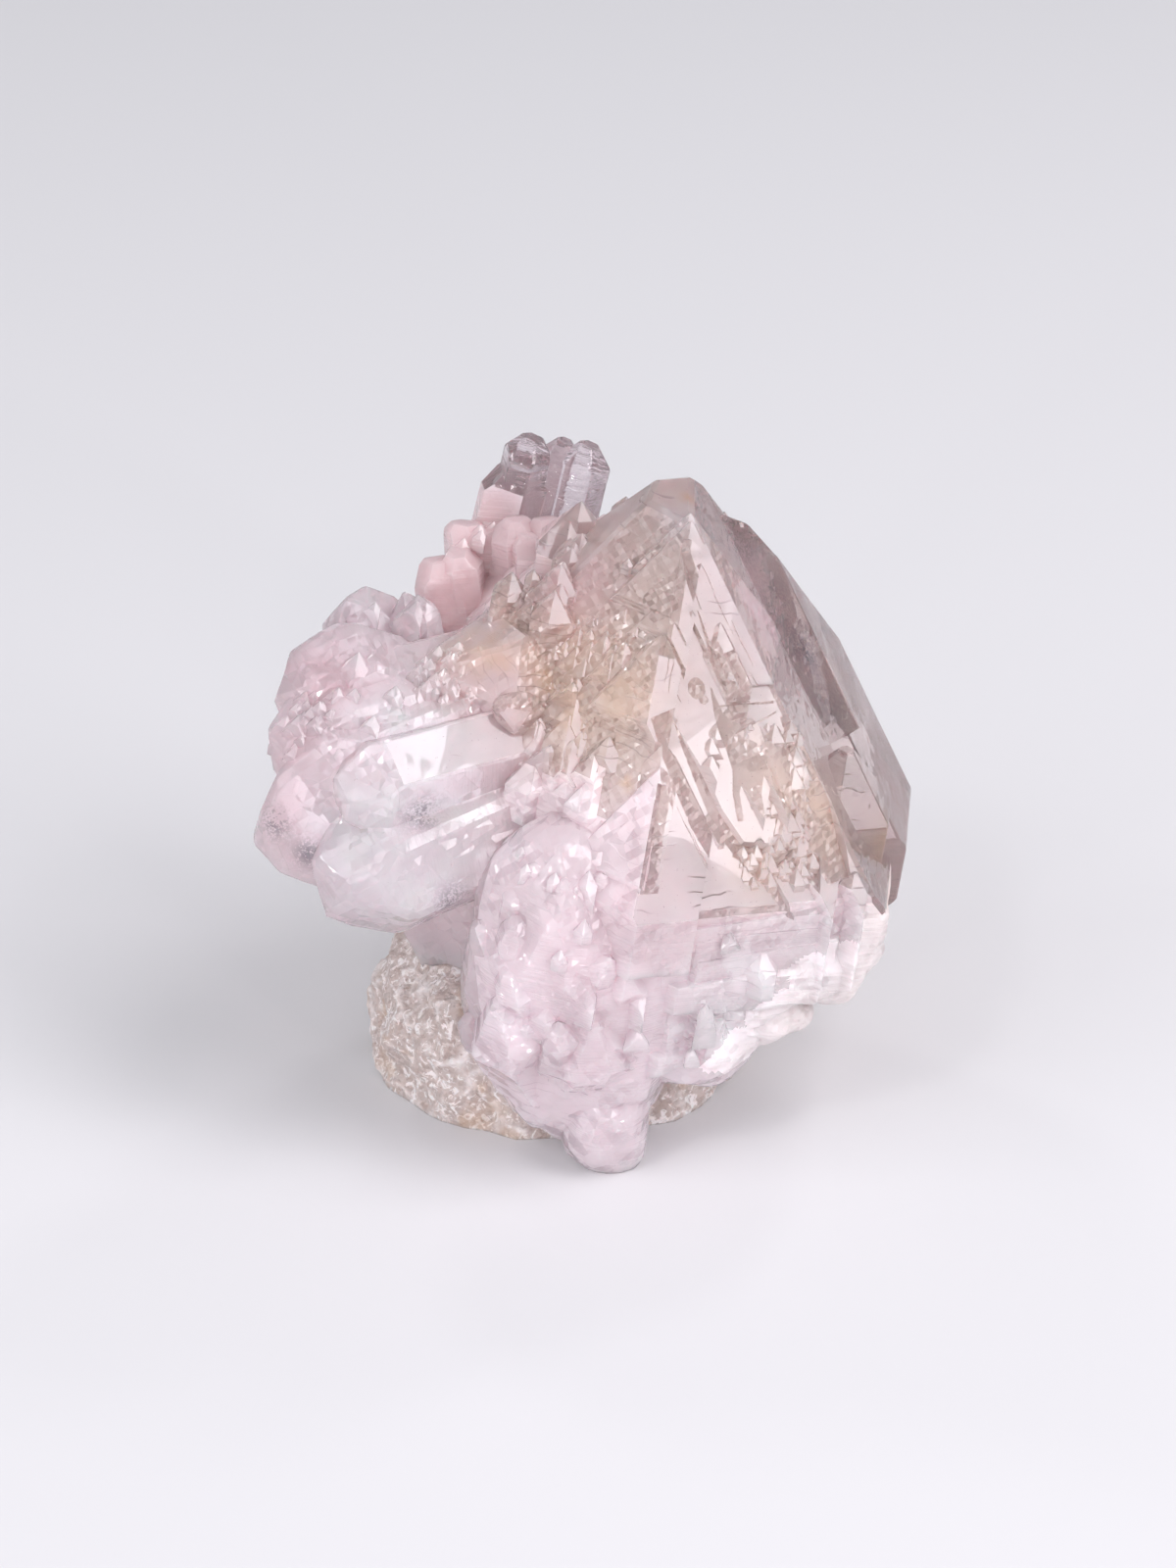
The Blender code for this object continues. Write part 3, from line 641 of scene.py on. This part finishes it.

# Faces that lie along the large point's lattice, or along the shining facet, are crisp: they keep their
# edges and stay flat, but for the low front. All others are rounded and swell with their kind.
CRISP_SWELL = 0.012
LOW_FRONT = 24.5
turns = np.arange(SIDES)
lattice = np.concatenate([[face_axes(side)[2] for side in turns],
                          [MAIN_AXES @ (math.cos(t), math.sin(t), 0) for t in turns * math.tau / SIDES],
                          [SHOWN_SIDE]])
least = np.append(np.full(2 * SIDES, ALIGNED), 0.995)
along = normals @ lattice.T
crisp = along.max(1) > least[along.argmax(1)]
crisp &= ~((centre[:, 2] < LOW_FRONT) & (centre[:, 1] < 0) & (kinds != SMOKY))
weight, uneven = np.ones((2, len(points)))
for k in range(3):
    np.minimum.at(weight, corners[:, k], np.where(crisp, 0, ROUNDED[kinds]))
    np.minimum.at(uneven, corners[:, k], np.where(crisp, CRISP_SWELL, UNEVEN[kinds]))
points = relaxed(points, edges, weight, 7)
spread = relaxed(np.repeat(uneven[:, None], 3, 1), edges, np.full(len(points), 0.5), 12)[:, 0]
uneven = np.minimum(uneven, spread)
mesh.vertices.foreach_set("co", (points * MM).ravel())
mesh.update()
outward = array_of(mesh.vertices, "normal", 3)
swell = 1.6 * cloud(points, 6.5, 1, 2) + 0.7 * cloud(points, 2.2, 4, 1) + 0.3 * cloud(points, 1.0, 2, 1)
points += outward * (uneven * swell)[:, None]
low, high = (np.array(corner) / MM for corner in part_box("rose_quartz"))
points = np.clip(points, low, high)
mesh.vertices.foreach_set("co", (points * MM).ravel())

# Soft patches of colour: blush is pinker, haze is whiter and rust is browner than the kind's own colour,
# and smoke is dark inside the clear crystals: partly smoky threads, partly painted shade for the dark seen
# through them. Each has its middle, radius and strength.
PATCHES = {
    "blush": [((17, 4, 48), 8, 0.8), ((-1, 1.5, 53), 6, 0.6), ((-26, -5, 46), 6, 0.6),
              ((-28, -12, 38), 9, 0.6), ((20, 9, 40), 6, 0.4), ((8, -18, 28), 10, 0.5),
              ((-10, -8, 44), 6, 0.3)],
    "haze": [((-17.2, -12.9, 42.9), 7, 0.8), ((-19.5, -19, 34), 5.5, 1.0), ((-11, -17, 36), 5, 0.7),
             ((-19, -19, 28), 6, 0.7), ((9, 3, 61), 4, 0.5), ((-24, -15, 38), 9, 0.4),
             ((17, -21, 22), 5, 0.4), ((2, -20, 6), 7, 0.3), ((13, -20, 19), 9, 0.75),
             ((22, -15, 22), 7, 0.6), ((-2, -20, 33), 5, 0.3)],
    "rust": [((29.6, -5.6, 28), 3.5, 0.9), ((27, -9, 24), 3, 0.7), ((10, 7.2, 60.5), 0.9, 1.0),
             ((-3.9, -4.7, 46.3), 0.8, 1.0), ((3.8, -15.4, 39.9), 0.7, 1.0), ((1, -6, 46), 10, 0.5),
             ((-9, -3, 48), 7, 0.5), ((-4, -5, 46), 2, 0.8), ((16, -16, 31), 4, 0.4),
             ((22, -10, 34), 7, 0.35)],
    "smoke_and_shade": [((22, 9.5, 42.5), 5.0, 1.0), ((19.5, 10.5, 47), 4.0, 1.0), ((16, 12, 53), 3.0, 0.9),
              ((24.1, 7, 38.5), 4.0, 0.7), ((-31, -12, 33.8), 1.8, 0.7), ((-27.6, -13.4, 31.2), 1.6, 0.8),
              ((-16.3, -15, 36.4), 2.0, 0.6), ((-13.5, -17.3, 27.8), 2.0, 0.7)],
}


def patched(points, spots):
    """The strongest of some soft spots: strength times e to the -1.4 (distance over radius) squared."""
    amount = np.zeros(len(points))
    for place, radius, strength in spots:
        far = np.linalg.norm(points - np.array(place), axis=1) / radius
        amount = np.maximum(amount, strength * np.exp(-far ** 2 * 1.4))
    return amount


mottle = 1 + 0.6 * cloud(points, 2.5, 9, 3)
for name, spots in PATCHES.items():
    amount = patched(points, spots)
    marked(mesh, name, amount if name == "smoke_and_shade" else np.clip(amount * mottle, 0, 1))
marked(mesh, "veil", np.clip(0.5 + 0.55 * cloud(points, 5.0, 51, 4), 0, 1))
marked(mesh, "worn", np.clip(0.45 + 0.6 * cloud(points, 4.0, 31, 3) - 0.3 * (points[:, 0] < -11), 0, 1))

# The plates of the front face, the pale crystal below the fan's shining facet and the clear points at the
# back have tones of their own. The shining facet has a whiter tone, a painted highlight on top of the key
# light's real sheen on it. Tones run softly into each other.
PLATE_TONE = (0.81, 0.72, 0.73)
FACET_SHEEN_TONE = (0.93, 0.86, 0.89)
PALE_TONE = (0.94, 0.87, 0.91)
BACK_TONE = (0.86, 0.79, 0.82)
PALE_CRYSTAL = ((-19, -17, 32), (9, 9, 7))
shade = TONES[kinds]
shade[((normals @ front_out) > ALIGNED) & (kinds == SMOKY)] = PLATE_TONE
# Painted highlight: the shining facet's faces get a whiter tone than their kind.
shade[(centre[:, 0] < FACET_END) & ((normals @ SHOWN_SIDE) > 0.99) & (kinds == SMOKY)] = FACET_SHEEN_TONE
shade[inside(centre, *PALE_CRYSTAL) & (kinds == LILAC)] = PALE_TONE
shade[(centre[:, 1] > 15) & (kinds == CLEAR)] = BACK_TONE
meeting = np.bincount(corners.ravel(), minlength=len(points))
tone = np.stack([np.bincount(corners.ravel(), np.repeat(part, 3), len(points)) for part in shade.T], 1)
tone = relaxed(tone / meeting[:, None], edges, np.full(len(points), 0.6), 12)
tone = np.concatenate([tone, np.ones((len(points), 1))], 1).astype(np.float32)
mesh.attributes.new("tone", "FLOAT_COLOR", "POINT").data.foreach_set("color", tone.ravel())


def sharpen(mesh, kinds, angles):
    """Smooth faces, with a sharp edge wherever two of them meet at more than their kind's angle."""
    mesh.polygons.foreach_set("use_smooth", np.ones(len(mesh.polygons), bool))
    order = np.argsort(array_of(mesh.loops, "edge_index", 1, int), kind="stable")
    faces = (order // 3).reshape(-1, 2)
    normals = array_of(mesh.polygons, "normal", 3)[faces]
    turn = np.degrees(np.arccos(np.clip((normals[:, 0] * normals[:, 1]).sum(1), -1, 1)))
    limit = angles[kinds[faces]].min(1)
    mesh.edges.foreach_set("use_edge_sharp", turn > limit)
    mesh.update()


sharpen(mesh, kinds, SHARP)


def node(tree, kind, settings=None, **sockets):
    """A node with its settings, and each input, by name or as _0, fed by a socket or set to a value."""
    made = tree.nodes.new("ShaderNode" + kind)
    for key, value in (settings or {}).items():
        setattr(made, key, value)
    for key, value in sockets.items():
        numbered = key[0] == "_" and key[1:].isdigit()
        socket = made.inputs[int(key[1:])] if numbered else made.inputs[key.replace("_", " ")]
        if isinstance(value, bpy.types.NodeSocket):
            tree.links.new(value, socket)
        else:
            socket.default_value = value
    return made


def maths(tree, operation, *values):
    """The result of a Math node."""
    return node(tree, "Math", {"operation": operation},
                **{f"_{i}": v for i, v in enumerate(values)}).outputs[0]


def vectors(tree, operation, result, *values):
    """The named result of a Vector Math node."""
    return node(tree, "VectorMath", {"operation": operation},
                **{f"_{i}": v for i, v in enumerate(values)}).outputs[result]


def noise(tree, vector, scale, detail=2.0, distortion=0.0, roughness=0.5):
    """The value of a noise texture."""
    return node(tree, "TexNoise", Vector=vector, Scale=scale, Detail=detail, Distortion=distortion,
                Roughness=roughness).outputs["Fac"]


def ramp(tree, value, low, high, start=0.0, end=1.0):
    """A value mapped from low..high to start..end and held there."""
    return node(tree, "MapRange", {"interpolation_type": "SMOOTHSTEP"}, Value=value,
                From_Min=low, From_Max=high, To_Min=start, To_Max=end).outputs[0]


def mark_of(tree, name, output="Fac"):
    """A mesh's own named value or colour."""
    return node(tree, "Attribute", {"attribute_name": name}).outputs[output]


def mixed(tree, amount, first, second):
    """The colour at an amount of the way from a first to a second one."""
    first, second = (c if isinstance(c, bpy.types.NodeSocket) else (*c, 1) for c in (first, second))
    return node(tree, "Mix", {"data_type": "RGBA"}, _0=amount, _6=first, _7=second).outputs[2]


def millimetres(tree):
    """Places on the piece in millimetres."""
    return node(tree, "VectorMath", {"operation": "SCALE"}, _0=node(tree, "TexCoord").outputs["Object"],
                Scale=1 / MM).outputs[0]


def finish_of(name):
    """A new material, with its nodes and its surface shader."""
    made = bpy.data.materials.new(name)
    made.use_nodes = True
    return made, made.node_tree, made.node_tree.nodes["Principled BSDF"]


def settled(surface, **values):
    """Sets the shader's own sockets, by name."""
    for label, value in values.items():
        surface.inputs[label.replace("_", " ")].default_value = value


def pressed(tree, surface, height):
    """Gives a surface relief: a height in millimetres."""
    bump = node(tree, "Bump", Height=height, Distance=MM, Strength=1.0)
    tree.links.new(bump.outputs[0], surface.inputs["Normal"])


# What growth leaves on every face. Along is how far up a crystal a place lies, Upright how much its face is
# a side, Worn how dull it is, and Mosaic and Grain how deep and fine its small facets are.
GROWTH_INPUTS = (
    ("Place", "NodeSocketVector", (0, 0, 0)), ("Along", "NodeSocketFloat", 0.0),
    ("Upright", "NodeSocketFloat", 0.0), ("Worn", "NodeSocketFloat", 0.0),
    ("Mosaic", "NodeSocketFloat", 0.1), ("Grain", "NodeSocketFloat", 1.0),
)
GROWTH_OUTPUTS = ("Height", "Lines", "Frost", "Specks", "Streaks")
growth = bpy.data.node_groups.new("growth_marks", "ShaderNodeTree")
for label, kind, value in GROWTH_INPUTS:
    growth.interface.new_socket(label, in_out="INPUT", socket_type=kind).default_value = value
for label in GROWTH_OUTPUTS:
    growth.interface.new_socket(label, in_out="OUTPUT", socket_type="NodeSocketFloat")
entry, leave = growth.nodes.new("NodeGroupInput"), growth.nodes.new("NodeGroupOutput")
place, along, upright, worn, deep, fine = (entry.outputs[label] for label, _, _ in GROWTH_INPUTS)
# Lines: thin dark steps across the crystal, where it is worn, that follow low hills.
hills = noise(growth, place, 0.3, 1.0)
steps = maths(growth, "FRACT", maths(growth, "ADD", maths(growth, "MULTIPLY", along, 0.9),
                                     maths(growth, "MULTIPLY", hills, 1.6)))
lines = maths(growth, "MULTIPLY", ramp(growth, steps, 0.0, 0.14, 1.0, 0.0), ramp(growth, worn, 0.55, 0.85))
# Ridges: fine striations across its sides.
ridges = node(growth, "CombineXYZ", X=maths(growth, "MULTIPLY", along, 2.6)).outputs[0]
ridges = noise(growth, ridges, 1.0, 2.0, 0.0, 0.7)
ridges = maths(growth, "MULTIPLY", ridges, maths(growth, "MULTIPLY", upright, 0.22))
# Specks and streaks: dark grains inside, and threads that break up the smoke, which is partly painted
# shade. Frost: worn faces are less smooth.
grain = noise(growth, place, 3.5, 2.0, 0.0, 0.7)
specks = ramp(growth, grain, 0.24, 0.32, 1.0, 0.0)
streaks = maths(growth, "ADD", grain, maths(growth, "MULTIPLY", hills, 0.5))
streaks = ramp(growth, streaks, 0.68, 0.8, 1.0, 0.0)
frost = ramp(growth, worn, 0.5, 0.8)
# Mosaic: broken and overgrown faces are made of small flat facets. Slanting waves with straight slopes
# are shifted, and set to a height of their own, in each of many cells, so that some patches glitter and
# others stay smooth. Each wave has its direction, its length in mm and its height.
WAVES = (((0.8, 0.1, 0.55), 0.9, 0.9), ((-0.5, 0.3, 0.8), 0.7, 1.0), ((0.2, -0.4, 0.9), 1.3, 1.0),
         ((-0.9, -0.2, 0.3), 0.55, 0.7))
cells = node(growth, "TexVoronoi", Vector=place, Scale=0.4).outputs["Color"]
shifted = vectors(growth, "MULTIPLY_ADD", "Vector", cells, (9, 9, 9), place)
mosaic = 0.0
for way, length, rise in WAVES:
    run = maths(growth, "MULTIPLY", vectors(growth, "DOT_PRODUCT", "Value", shifted, way), fine)
    mosaic = maths(growth, "MULTIPLY_ADD", maths(growth, "PINGPONG", run, length), rise, mosaic)
lively = ramp(growth, node(growth, "SeparateColor", _0=cells).outputs[0], 0.25, 0.8, 0.12, 1.0)
mosaic = maths(growth, "MULTIPLY", mosaic, maths(growth, "MULTIPLY", deep, lively))
height = maths(growth, "MULTIPLY", hills, 0.05)
for part in (maths(growth, "MULTIPLY", lines, -0.04), ridges, mosaic):
    height = maths(growth, "ADD", height, part)
for label, value in zip(GROWTH_OUTPUTS, (height, lines, frost, specks, streaks)):
    growth.links.new(value, leave.inputs[label])


# What each patch turns the colour to. The near black of smoke is partly painted shade: the dark seen
# through clear quartz.
PATCH_TINTS = {"blush": (0.86, 0.62, 0.66), "haze": (0.95, 0.90, 0.93), "rust": (0.86, 0.62, 0.42),
               "smoke_and_shade": (0.12, 0.12, 0.16)}
QUARTZ_IOR = 1.544
# How far red, green and blue light spread in it, beside each other.
LIGHT_SPREAD = (1, 0.85, 0.9)


def quartz(name, clear, roughness, tint=(1, 1, 1), lean=MAIN_LEAN, depth=2.0, marks=0.35, relief=1.0,
           mosaic=0.1, stripes=1.0, frosted=0.1, grain=1.0):
    """See-through quartz that is partly milky, on a crystal that leans the given way.

    Clear is its plain transmission, and depth how far light spreads inside in mm. Marks is how dark its
    growth lines are, relief how deep all its marks are, stripes how strong the striations of its sides are,
    and frosted how much rougher it is where it is worn. Its colour is the mesh's tone, tinted and patched.
    """
    made, tree, surface = finish_of(name)
    place, axis = millimetres(tree), tuple(direction(*lean))
    along = vectors(tree, "DOT_PRODUCT", "Value", place, axis)
    facing = vectors(tree, "DOT_PRODUCT", "Value", node(tree, "NewGeometry").outputs["Normal"], axis)
    upright = ramp(tree, maths(tree, "ABSOLUTE", facing), 0.12, 0.3, stripes, 0.0)
    grown = node(tree, "Group", {"node_tree": growth}, Place=place, Along=along, Upright=upright,
                 Worn=mark_of(tree, "worn"), Mosaic=mosaic, Grain=grain)
    shade = vectors(tree, "MULTIPLY", "Vector", mark_of(tree, "tone", "Color"), tint)
    for label, patch in PATCH_TINTS.items():
        amount = mark_of(tree, label)
        # Smoke runs in streaks: smoky threads, and painted shade where the dark behind shows through.
        if label == "smoke_and_shade":
            amount = maths(tree, "MULTIPLY", amount, grown.outputs["Streaks"])
        shade = mixed(tree, amount, shade, patch)
    dark = maths(tree, "MAXIMUM", maths(tree, "MULTIPLY", grown.outputs["Lines"], marks),
                 maths(tree, "MULTIPLY", grown.outputs["Specks"], marks * 1.6))
    bright = maths(tree, "SUBTRACT", maths(tree, "MULTIPLY_ADD", mark_of(tree, "veil"), 0.2, 0.9),
                   maths(tree, "MULTIPLY", dark, 0.7))
    shade = node(tree, "VectorMath", {"operation": "SCALE"}, _0=shade, Scale=bright).outputs[0]
    tree.links.new(shade, surface.inputs["Base Color"])
    rough = maths(tree, "ADD", roughness, maths(tree, "MULTIPLY", grown.outputs["Frost"], frosted))
    tree.links.new(rough, surface.inputs["Roughness"])
    pressed(tree, surface, maths(tree, "MULTIPLY", grown.outputs["Height"], relief))
    settled(surface, IOR=QUARTZ_IOR, Transmission_Weight=clear, Subsurface_Weight=1,
            Subsurface_Radius=LIGHT_SPREAD, Subsurface_Scale=depth * MM)
    return made


# One material for each kind, in their order.
QUARTZES = {
    "smoky_quartz": dict(clear=0.78, roughness=0.03, marks=0.6, relief=0.7, mosaic=0.0, frosted=0.05),
    "pink_quartz": dict(clear=0.4, roughness=0.09, depth=3.0, marks=0.12, mosaic=0.42, grain=0.9),
    "lilac_quartz": dict(clear=0.62, roughness=0.05, lean=(-60, -4), depth=3.0, marks=0.2, relief=0.7,
                         mosaic=0.3, stripes=0.3, grain=0.7),
    "rose_quartz_tuft": dict(clear=0.3, roughness=0.1, lean=(180, 80), depth=3.0, marks=0.12, mosaic=0.12),
    "clear_quartz": dict(clear=0.92, roughness=0.02, tint=(0.98, 0.97, 0.98), mosaic=0.05),
    "white_crust": dict(clear=0.12, roughness=0.5, depth=1.0, marks=0.12, relief=1.6, mosaic=0.2),
    "tan_quartz": dict(clear=0.65, roughness=0.06, tint=(0.78, 0.745, 0.72), marks=0.5, mosaic=0.25,
                       grain=1.4),
    "milky_quartz": dict(clear=0.45, roughness=0.06, depth=3.0, marks=0.2, mosaic=0.45, grain=0.9),
}
mesh.materials.clear()
for name, traits in QUARTZES.items():
    mesh.materials.append(quartz(name, **traits))
mesh.polygons.foreach_set("material_index", kinds)
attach(crystals, "root")
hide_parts("rose_quartz")


# The host rock
# A lump of pale tan, granular quartz and feldspar, broken by hand below and at the back, with white veins
# of grains and rust-coloured stains. The crystals grew on it.
ROCK_LONGEST = np.array([0.5])
FOOT_HEIGHT = 0.02
rock = plain_copy("matrix_rock", "host_rock")
mesh = rock.data
bm = bmesh.new()
bm.from_mesh(mesh)
bmesh.ops.triangulate(bm, faces=bm.faces[:])
bm.to_mesh(mesh)
bm.free()
points = array_of(mesh.vertices, "co", 3).astype(float) / MM
corners = array_of(mesh.loops, "vertex_index", 1, int).reshape(-1, 3)
points, corners, _ = refined(points, corners, np.zeros(len(corners), int), ROCK_LONGEST, 9)
rebuilt(mesh, points, corners)
edges = array_of(mesh.edges, "vertices", 2, int)
foot = points[:, 2] < FOOT_HEIGHT
points = relaxed(points, edges, np.where(foot, 0, 0.7), 5)
mesh.vertices.foreach_set("co", (points * MM).ravel())
mesh.update()
# White veins stand proud of the rugged surface, which fades out towards the flat foot.
outward = array_of(mesh.vertices, "normal", 3)
veins = np.clip(1 - np.abs(cloud(points, 3.2, 21, 2)) * 3.5, 0, 1)
rugged = 0.55 * np.abs(cloud(points, 4.0, 22, 2)) + 0.28 * cloud(points, 1.3, 23, 3) + 0.25 * veins - 0.35
points += outward * (rugged * np.clip(points[:, 2], 0, 1))[:, None]
points[:, 2] = np.where(foot, 0, np.maximum(points[:, 2], 0.03))
mesh.vertices.foreach_set("co", (points * MM).ravel())
marked(mesh, "veins", veins * np.clip(0.5 + cloud(points, 1.0, 24, 2), 0, 1))
marked(mesh, "stain", np.clip(cloud(points, 4.5, 25, 3) * 1.6 - 0.35, 0, 1))
mesh.polygons.foreach_set("use_smooth", np.ones(len(mesh.polygons), bool))
mesh.update()

# Grains of two tones, with white veins, rust stains and dark pores.
GRAIN_DARK = (0.47, 0.38, 0.35)
GRAIN_LIGHT = (0.63, 0.54, 0.51)
VEIN = (0.93, 0.88, 0.87)
RUST = (0.55, 0.36, 0.22)
PORE = (0.3, 0.22, 0.19)
ROCK_SPREAD = (1, 0.7, 0.6)
ROCK_DEPTH = 0.6
stone, tree, surface = finish_of("granular_stone")
place = millimetres(tree)
grains = node(tree, "TexVoronoi", Vector=place, Scale=2.2, Randomness=1.0)
tone = node(tree, "SeparateColor", _0=grains.outputs["Color"]).outputs[0]
shade = mixed(tree, tone, GRAIN_DARK, GRAIN_LIGHT)
white = maths(tree, "MAXIMUM", mark_of(tree, "veins"),
              ramp(tree, noise(tree, place, 0.9, 5.0, 1.2, 0.65), 0.52, 0.6))
shade = mixed(tree, maths(tree, "MULTIPLY", white, 0.85), shade, VEIN)
shade = mixed(tree, maths(tree, "MULTIPLY", mark_of(tree, "stain"), 0.7), shade, RUST)
pores = ramp(tree, noise(tree, place, 1.6, 4.0, 0.6, 0.7), 0.3, 0.4, 1.0, 0.0)
shade = mixed(tree, maths(tree, "MULTIPLY", pores, 0.7), shade, PORE)
tree.links.new(shade, surface.inputs["Base Color"])
rise = maths(tree, "ADD", maths(tree, "MULTIPLY", noise(tree, place, 2.0, 6.0, 0.4, 0.7), 0.35),
             maths(tree, "MULTIPLY", grains.outputs["Distance"], -0.12))
pressed(tree, surface, rise)
settled(surface, Roughness=0.5, Subsurface_Weight=0.6, Subsurface_Radius=ROCK_SPREAD,
        Subsurface_Scale=ROCK_DEPTH * MM)
mesh.materials.clear()
mesh.materials.append(stone)
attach(rock, "root")
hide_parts("matrix_rock")


# The floor, the lights and the camera
# A pale floor runs far back behind the specimen. Two large soft boxes at the upper right light the flat
# faces, weaker ones fill in from the left and the front, and small ones make facets glint. The camera
# looks down from the front.
LAMP_FAR = 0.9
MIDDLE = Vector((0, 0, 0.03))
FLOOR_HALF = 4
FLOOR_TONE = (0.68, 0.68, 0.69, 1)
SKY_TONE = (0.9, 0.93, 1, 1)
SKY_STRENGTH = 0.38


def softbox(name, azimuth, elevation, width, height, brightness, colour):
    """A rectangular lamp that faces the specimen and looks the given brightness from it."""
    lamp = bpy.data.lights.new(name, "AREA")
    lamp.shape = "RECTANGLE"
    lamp.size, lamp.size_y = width, height
    lamp.energy = brightness * math.pi * width * height
    lamp.color = colour
    made = in_scene(name, lamp)
    outward = direction(azimuth, elevation)
    made.location = MIDDLE + outward * LAMP_FAR
    made.rotation_euler = outward.to_track_quat("Z", "Y").to_euler()


softbox("key", 60, 35, 0.44, 0.44, 5.9, (1, 0.955, 0.99))
softbox("key_high", 82, 59, 0.42, 0.42, 5.4, (1, 0.955, 0.99))
for index, (azimuth, elevation) in enumerate(((-38, 50), (-84, 14), (150, 38), (-150, 35))):
    softbox(f"glint_{index}", azimuth, elevation, 0.12, 0.12, 14.0, (1, 0.97, 0.99))
softbox("fill", -60, 32, 0.7, 0.5, 2.1, (0.96, 0.96, 1))
softbox("low_front", -12, 2, 0.9, 0.5, 2.0, (1, 0.95, 1))
for index, (azimuth, elevation) in enumerate(((-28, 10), (14, 5), (32, 16), (2, 22))):
    softbox(f"sparkle_{index}", azimuth, elevation, 0.05, 0.05, 80.0, (1, 0.96, 0.99))

world = bpy.data.worlds.new("studio")
world.use_nodes = True
settled(world.node_tree.nodes["Background"], Color=SKY_TONE, Strength=SKY_STRENGTH)
bpy.context.scene.world = world

floor_mesh = bpy.data.meshes.new("floor")
floor_corners = [(x * FLOOR_HALF, y * FLOOR_HALF, 0) for x, y in ((-1, -1), (1, -1), (1, 1), (-1, 1))]
floor_mesh.from_pydata(floor_corners, [], [(0, 1, 2, 3)])
floor = in_scene("floor", floor_mesh)
floor_paint, _, surface = finish_of("floor_paint")
settled(surface, Base_Color=FLOOR_TONE, Roughness=0.7)
floor_mesh.materials.append(floor_paint)

# How far down the camera looks, the place that it looks at, and how far it stands from there.
LOOK_DOWN = math.radians(27)
AIM = Vector((0, 0.002, 0.03098))
CAMERA_FAR = 0.444
back = Vector((0, -math.cos(LOOK_DOWN), math.sin(LOOK_DOWN)))
up = Vector((0, math.sin(LOOK_DOWN), math.cos(LOOK_DOWN)))
camera = in_scene("camera", bpy.data.cameras.new("camera"))
camera.data.lens = 100
camera.data.sensor_fit = "VERTICAL"
camera.data.sensor_height = 36
turned = Matrix((Vector((1, 0, 0)), up, back)).transposed().to_4x4()
camera.matrix_world = Matrix.Translation(AIM + back * CAMERA_FAR) @ turned
bpy.context.scene.camera = camera
bpy.context.scene.view_settings.view_transform = "Standard"
